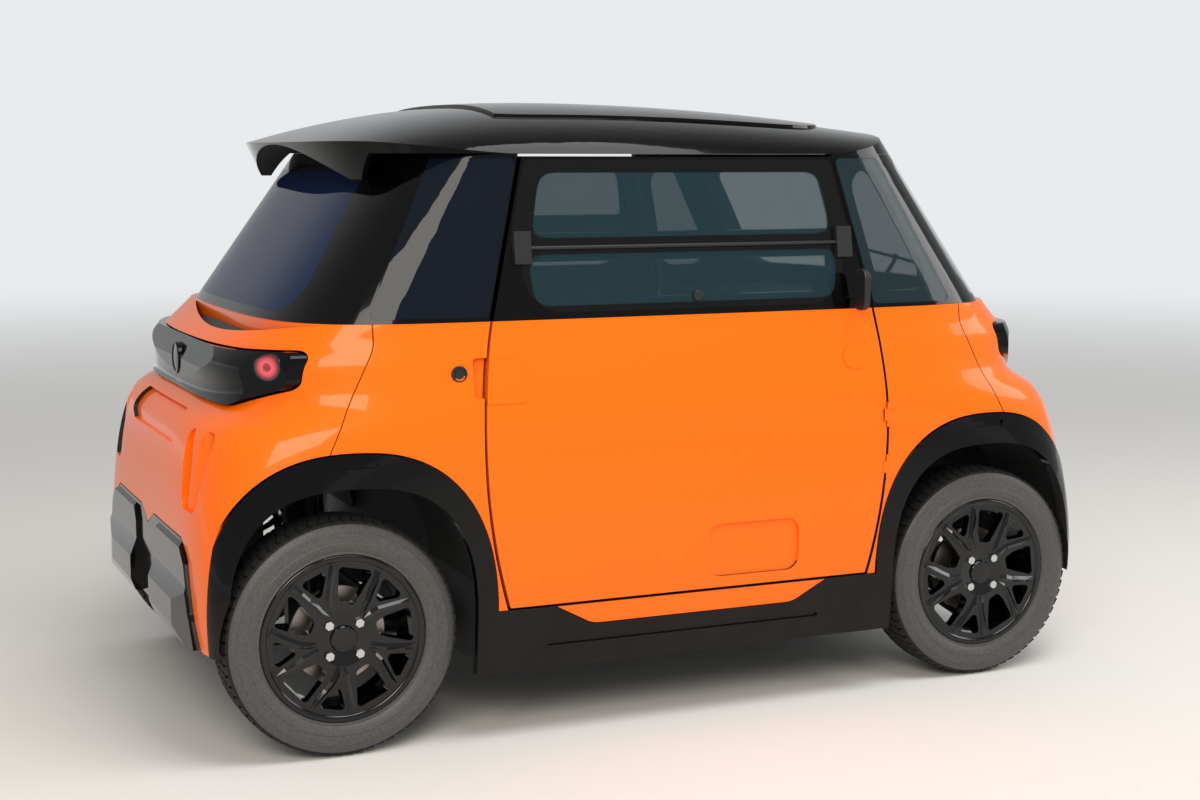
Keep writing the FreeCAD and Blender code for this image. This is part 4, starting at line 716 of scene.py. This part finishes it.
# %% [markdown]
# A headlamp is a small room with a window. The frame's lamp is one solid lens, so each gets an inside: two silvered
# bowls, one above the other, each with a dome for its light source. They are turned shapes set into the lens.

# %% Headlamp bowls
silvered, tree, shader = surface("vacuum silvered bowl", "#D8D9DB", roughness=0.12, metallic=1.0)
fine_bump(tree, shader, 8.0 * MM, 0.4 * MM, strength=0.35)
dome, tree, shader = surface("frosted lamp dome", "#E9E6DC", roughness=0.3, coat_weight=1.0)
fine_bump(tree, shader, 4.0 * MM, 0.2 * MM, strength=0.3)
BOWL = [(0.006, -0.016), (0.020, -0.014), (0.032, -0.007), (0.038, 0.0), (0.0395, 0.0), (0.033, -0.009),
        (0.020, -0.0165), (0.006, -0.0185)]
DOME = [(0.0001, -0.0165), (0.010, -0.0165), (0.0105, -0.010), (0.007, -0.005), (0.0001, -0.0035)]
BOWL_SET_BACK = 0.004
# Each bowl: distance from the middle of the car, height, size as a share of the outline.
BOWL_PLACES = ((0.440, 0.696, 0.72), (0.448, 0.622, 0.62))
for side in (-1, 1):
    for number, (out, height, scale) in enumerate(BOWL_PLACES):
        spot = landing("front_lamps", (3, side * out, height), (-1, 0, 0))
        centre = Vector((spot.x - BOWL_SET_BACK, side * out, height))
        label = ("right" if side < 0 else "left") + "_" + str(number)
        for stem, outline, finish in (("headlamp_bowl_", BOWL, silvered), ("headlamp_dome_", DOME, dome)):
            vertices, faces = turned_mesh([(r * scale, d) for r, d in outline], centre, "x", 1, 40)
            item = piece(stem + label, vertices, faces, [finish], "car")
            sharpen(item, 50)
print("headlamp bowls placed")

# %% [markdown]
# The round lamps need no extra mesh. Their rings follow from the distance to the lamp's own axis, so a pattern in
# the material draws them: a dark rim, a bright reflex ring and a lens in the middle.

# %% Ringed lens material
RING_AXIS = (0.541, 0.890)
RING_REACH = 32.0


def ringed(name, stops, roughness=0.06):
    """A lens whose colour goes by the distance from the axis of a round lamp. stops are (millimetres, colour)."""
    material, tree, shader = surface(name, stops[0][1], roughness=roughness, coat_weight=1.0)
    place = add(tree, "ShaderNodeTexCoord")
    parts = add(tree, "ShaderNodeSeparateXYZ", {0: place.outputs["Object"]})
    width = add(tree, "ShaderNodeMath", {0: parts.outputs["Y"]}, operation="ABSOLUTE")
    across = add(tree, "ShaderNodeMath", {0: width.outputs[0], 1: RING_AXIS[0]}, operation="SUBTRACT")
    height = add(tree, "ShaderNodeMath", {0: parts.outputs["Z"], 1: RING_AXIS[1]}, operation="SUBTRACT")
    flat = add(tree, "ShaderNodeCombineXYZ", {"X": across.outputs[0], "Y": height.outputs[0]})
    radius = add(tree, "ShaderNodeVectorMath", {0: flat.outputs[0]}, operation="LENGTH")
    share = add(tree, "ShaderNodeMath", {0: radius.outputs["Value"], 1: 1 / (RING_REACH * MM)}, operation="MULTIPLY")
    ramp = add(tree, "ShaderNodeValToRGB", {0: share.outputs[0]})
    while len(ramp.color_ramp.elements) < len(stops):
        ramp.color_ramp.elements.new(1.0)
    for element, (millimetres, colour) in zip(ramp.color_ramp.elements, stops):
        element.position = millimetres / RING_REACH
        element.color = linear(colour)
    tree.links.new(ramp.outputs[0], shader.inputs["Base Color"])
    fine_bump(tree, shader, 5.0 * MM, 0.4 * MM, strength=0.5)
    return material


tail_ring = ringed("red reflex tail lens", ((0, "#7E1418"), (8, "#A81C22"), (12, "#E8606A"), (20, "#D63A44"),
                                            (24, "#8E1519"), (28, "#141012")))
turn_ring = ringed("clear front position lens", ((0, "#E8E4DA"), (8, "#B9B7B0"), (13, "#8C8B88"), (21, "#D9D8D4"),
                                                 (25, "#55565A"), (29, "#101112")))
nodes["tail_lamps"].data.materials.clear()
nodes["tail_lamps"].data.materials.append(tail_ring)
nodes["front_lamps"].data.materials.append(turn_ring)
for face in nodes["front_lamps"].data.polygons:
    face.material_index = 1 if face.center.z > 0.8 else 0
print("ringed lenses set")

# %% [markdown]
# The seat pads are foam in a sewn cloth cover. A cover pulls tight over the foam, so the pad bulges between its
# seams. Cloth simulation does just that: the CAD pad, slightly shrunk, becomes a fine grid of points and is blown
# up a little. A cap on how far a point may move keeps each pad in its own space. The seams are pressed in after.

# %% Seat pads
PAD_SHRINK = 0.010
PAD_CELL = 0.006
PAD_PRESSURE = 4.0
PAD_CAP = 0.012
PAD_FRAMES = 20
SOFTEN_ROUNDS = 12
SEAM_OFFSETS = (-0.105, 0.105)
SEAM_DEPTH = 0.006
SEAM_WIDTH = 0.007


def pad_islands(item):
    """The separate closed solids in a CAD node, as lists of points and faces."""
    work = bmesh.new()
    work.from_mesh(item.data)
    bmesh.ops.remove_doubles(work, verts=work.verts, dist=1e-6)
    work.verts.ensure_lookup_table()
    seen, islands = set(), []
    for first in work.verts:
        if first.index in seen:
            continue
        stack, found = [first], []
        seen.add(first.index)
        while stack:
            vertex = stack.pop()
            found.append(vertex)
            for edge in vertex.link_edges:
                other = edge.other_vert(vertex)
                if other.index not in seen:
                    seen.add(other.index)
                    stack.append(other)
        order = {vertex.index: number for number, vertex in enumerate(found)}
        faces = [[order[v.index] for v in face.verts] for face in work.faces if face.verts[0].index in order]
        islands.append(([vertex.co.copy() for vertex in found], faces))
    work.free()
    return islands


def press_seams(mesh, centre_y):
    """Presses two lengthwise channels into a finished pad."""
    normals = [vertex.normal.copy() for vertex in mesh.vertices]
    for vertex, normal in zip(mesh.vertices, normals):
        for offset in SEAM_OFFSETS:
            away = abs(vertex.co.y - centre_y - offset)
            if away < 3 * SEAM_WIDTH:
                vertex.co -= normal * SEAM_DEPTH * math.exp(-(away / SEAM_WIDTH) ** 2)


def pad(name, points, faces):
    """One pad: shrunk, remeshed, blown up by the cloth solver, capped, softened and seamed."""
    low = Vector([min(p[i] for p in points) for i in range(3)])
    high = Vector([max(p[i] for p in points) for i in range(3)])
    middle, size = (low + high) / 2, high - low
    shrunk = [middle + Vector([(p[i] - middle[i]) * (1 - 2 * PAD_SHRINK / size[i]) for i in range(3)])
              for p in points]
    item = piece(name, shrunk, faces, [seat_cloth], None)
    bpy.context.view_layer.objects.active = item
    remesh = item.modifiers.new("grid", "REMESH")
    remesh.mode, remesh.voxel_size = "VOXEL", PAD_CELL
    bpy.ops.object.modifier_apply(modifier=remesh.name)
    start = [vertex.co.copy() for vertex in item.data.vertices]
    cloth = item.modifiers.new("cloth", "CLOTH")
    cloth.settings.use_pressure = True
    cloth.settings.uniform_pressure_force = PAD_PRESSURE
    cloth.settings.effector_weights.gravity = 0
    cloth.settings.quality = 4
    cloth.point_cache.frame_start, cloth.point_cache.frame_end = 1, PAD_FRAMES
    for frame_number in range(1, PAD_FRAMES + 1):
        scene.frame_set(frame_number)
    bpy.ops.object.modifier_apply(modifier=cloth.name)
    scene.frame_set(1)
    for vertex, old in zip(item.data.vertices, start):
        move = vertex.co - old
        if move.length > PAD_CAP:
            vertex.co = old + move.normalized() * PAD_CAP
    smooth = item.modifiers.new("soften", "SMOOTH")
    smooth.factor, smooth.iterations = 0.5, SOFTEN_ROUNDS
    bpy.ops.object.modifier_apply(modifier=smooth.name)
    finer = item.modifiers.new("finer", "SUBSURF")
    finer.levels = finer.render_levels = 1
    bpy.ops.object.modifier_apply(modifier=finer.name)
    press_seams(item.data, middle.y)
    for face in item.data.polygons:
        face.use_smooth = True
    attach(item, "car")
    return item


pads = [pad("seat_pad_" + str(number), points, faces)
        for number, (points, faces) in enumerate(pad_islands(nodes["seat_cushions"]))]
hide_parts("seat_cushions")
print("seat pads", [len(item.data.polygons) for item in pads])

# %% [markdown]
# Small trim finishes the outside. Each end has a round boss in the middle of its black mask, left bare. A push
# button opens the door from the rear quarter of each side. The lower half of each window has a latch at its foot.

# %% Round trim
BOSS = [(0.0001, -0.020), (0.040, -0.020), (0.0405, 0.0012), (0.0385, 0.0036), (0.0350, 0.0032), (0.0340, 0.0012),
        (0.0200, 0.0020), (0.0001, 0.0024)]
BUTTON = [(0.0001, -0.010), (0.0190, -0.010), (0.0195, 0.0010), (0.0180, 0.0030), (0.0150, 0.0032),
          (0.0140, 0.0012), (0.0115, 0.0010), (0.0108, 0.0026), (0.0060, 0.0030), (0.0055, 0.0020),
          (0.0001, 0.0018)]
LATCH_KNOB = [(0.0001, -0.006), (0.0125, -0.006), (0.0130, 0.0060), (0.0110, 0.0080), (0.0001, 0.0085)]
BUTTON_PLACE = (0.593, 0.869)
LATCH_PLACE = (0.02, 1.030)
BOSS_HEIGHT = 0.864
for sign, end in ((1, "front"), (-1, "rear")):
    spot = landing(end + "_mask", (3 * sign, 0, BOSS_HEIGHT), (-sign, 0, 0))
    vertices, faces = turned_mesh(BOSS, spot, "x", sign, 56)
    sharpen(piece("mask_boss_" + end, vertices, faces, [black_film], "car"))
for sign, side in ((-1, "right"), (1, "left")):
    x = BUTTON_PLACE[0] * sign
    spot = landing("side_panels", (x, 3 * sign, BUTTON_PLACE[1]), (0, -sign, 0))
    vertices, faces = turned_mesh(BUTTON, spot, "y", sign, 48)
    sharpen(piece("door_button_" + side, vertices, faces, [fitting_plastic], "car"))
    spot = landing("door_glass", (LATCH_PLACE[0] * -sign, 3 * sign, LATCH_PLACE[1]), (0, -sign, 0))
    vertices, faces = turned_mesh(LATCH_KNOB, spot, "y", sign, 36)
    sharpen(piece("window_latch_" + side, vertices, faces, [fitting_plastic], "door_" + side))
print("round trim placed")

# %% [markdown]
# One wiper clears the screen. Its blade is a strip of rubber that must lie on the curved glass, so its points come
# from rays shot at the screen. A curve with a round bevel makes the arm, and it is turned into a mesh at the end.

# %% Windscreen wiper
BLADE_HEIGHTS = (1.045, 1.10)
BLADE_REACH = (-0.36, 0.16)
WIPER_FOOT = (0.02, 1.012)
BLADE_STEPS = 8
BLADE_LIFT = 0.006
SCREEN_NORMAL = (0.72, 0.0, 0.69)


def bar(name, points, width, finish, body):
    """A bent round bar along a smooth line that the points lead."""
    curve = bpy.data.curves.new(name, "CURVE")
    curve.dimensions = "3D"
    curve.bevel_depth = width / 2
    curve.bevel_resolution = 3
    curve.use_fill_caps = True
    line = curve.splines.new("NURBS")
    line.points.add(len(points) - 1)
    for point, spot in zip(line.points, points):
        point.co = (*spot, 1)
    line.order_u = 3
    line.use_endpoint_u = True
    host = bpy.data.objects.new(name + "_curve", curve)
    scene.collection.objects.link(host)
    bpy.context.view_layer.update()
    mesh = bpy.data.meshes.new_from_object(host.evaluated_get(bpy.context.evaluated_depsgraph_get()))
    bpy.data.objects.remove(host)
    mesh.name = name
    mesh.materials.clear()
    mesh.materials.append(finish)
    for face in mesh.polygons:
        face.use_smooth = True
    item = bpy.data.objects.new(name, mesh)
    scene.collection.objects.link(item)
    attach(item, body)
    return item


def on_screen(y, z, lift):
    """A point in front of the screen, lifted off the glass."""
    return landing("windscreen", (3, y, z), (-1, 0, 0)) + Vector(SCREEN_NORMAL) * lift


shares = [step / BLADE_STEPS for step in range(BLADE_STEPS + 1)]
blade = [on_screen(BLADE_REACH[0] + (BLADE_REACH[1] - BLADE_REACH[0]) * share,
                   BLADE_HEIGHTS[0] + (BLADE_HEIGHTS[1] - BLADE_HEIGHTS[0]) * share, BLADE_LIFT)
         for share in shares]
arm = [on_screen(WIPER_FOOT[0], WIPER_FOOT[1], 0.012), on_screen(-0.02, 1.03, 0.020), on_screen(-0.08, 1.06, 0.018),
       on_screen(-0.10, 1.073, 0.012)]
bar("wiper_blade", blade, 0.009, tread_rubber, "car")
bar("wiper_arm", arm, 0.012, fitting_plastic, "car")
print("wiper placed")
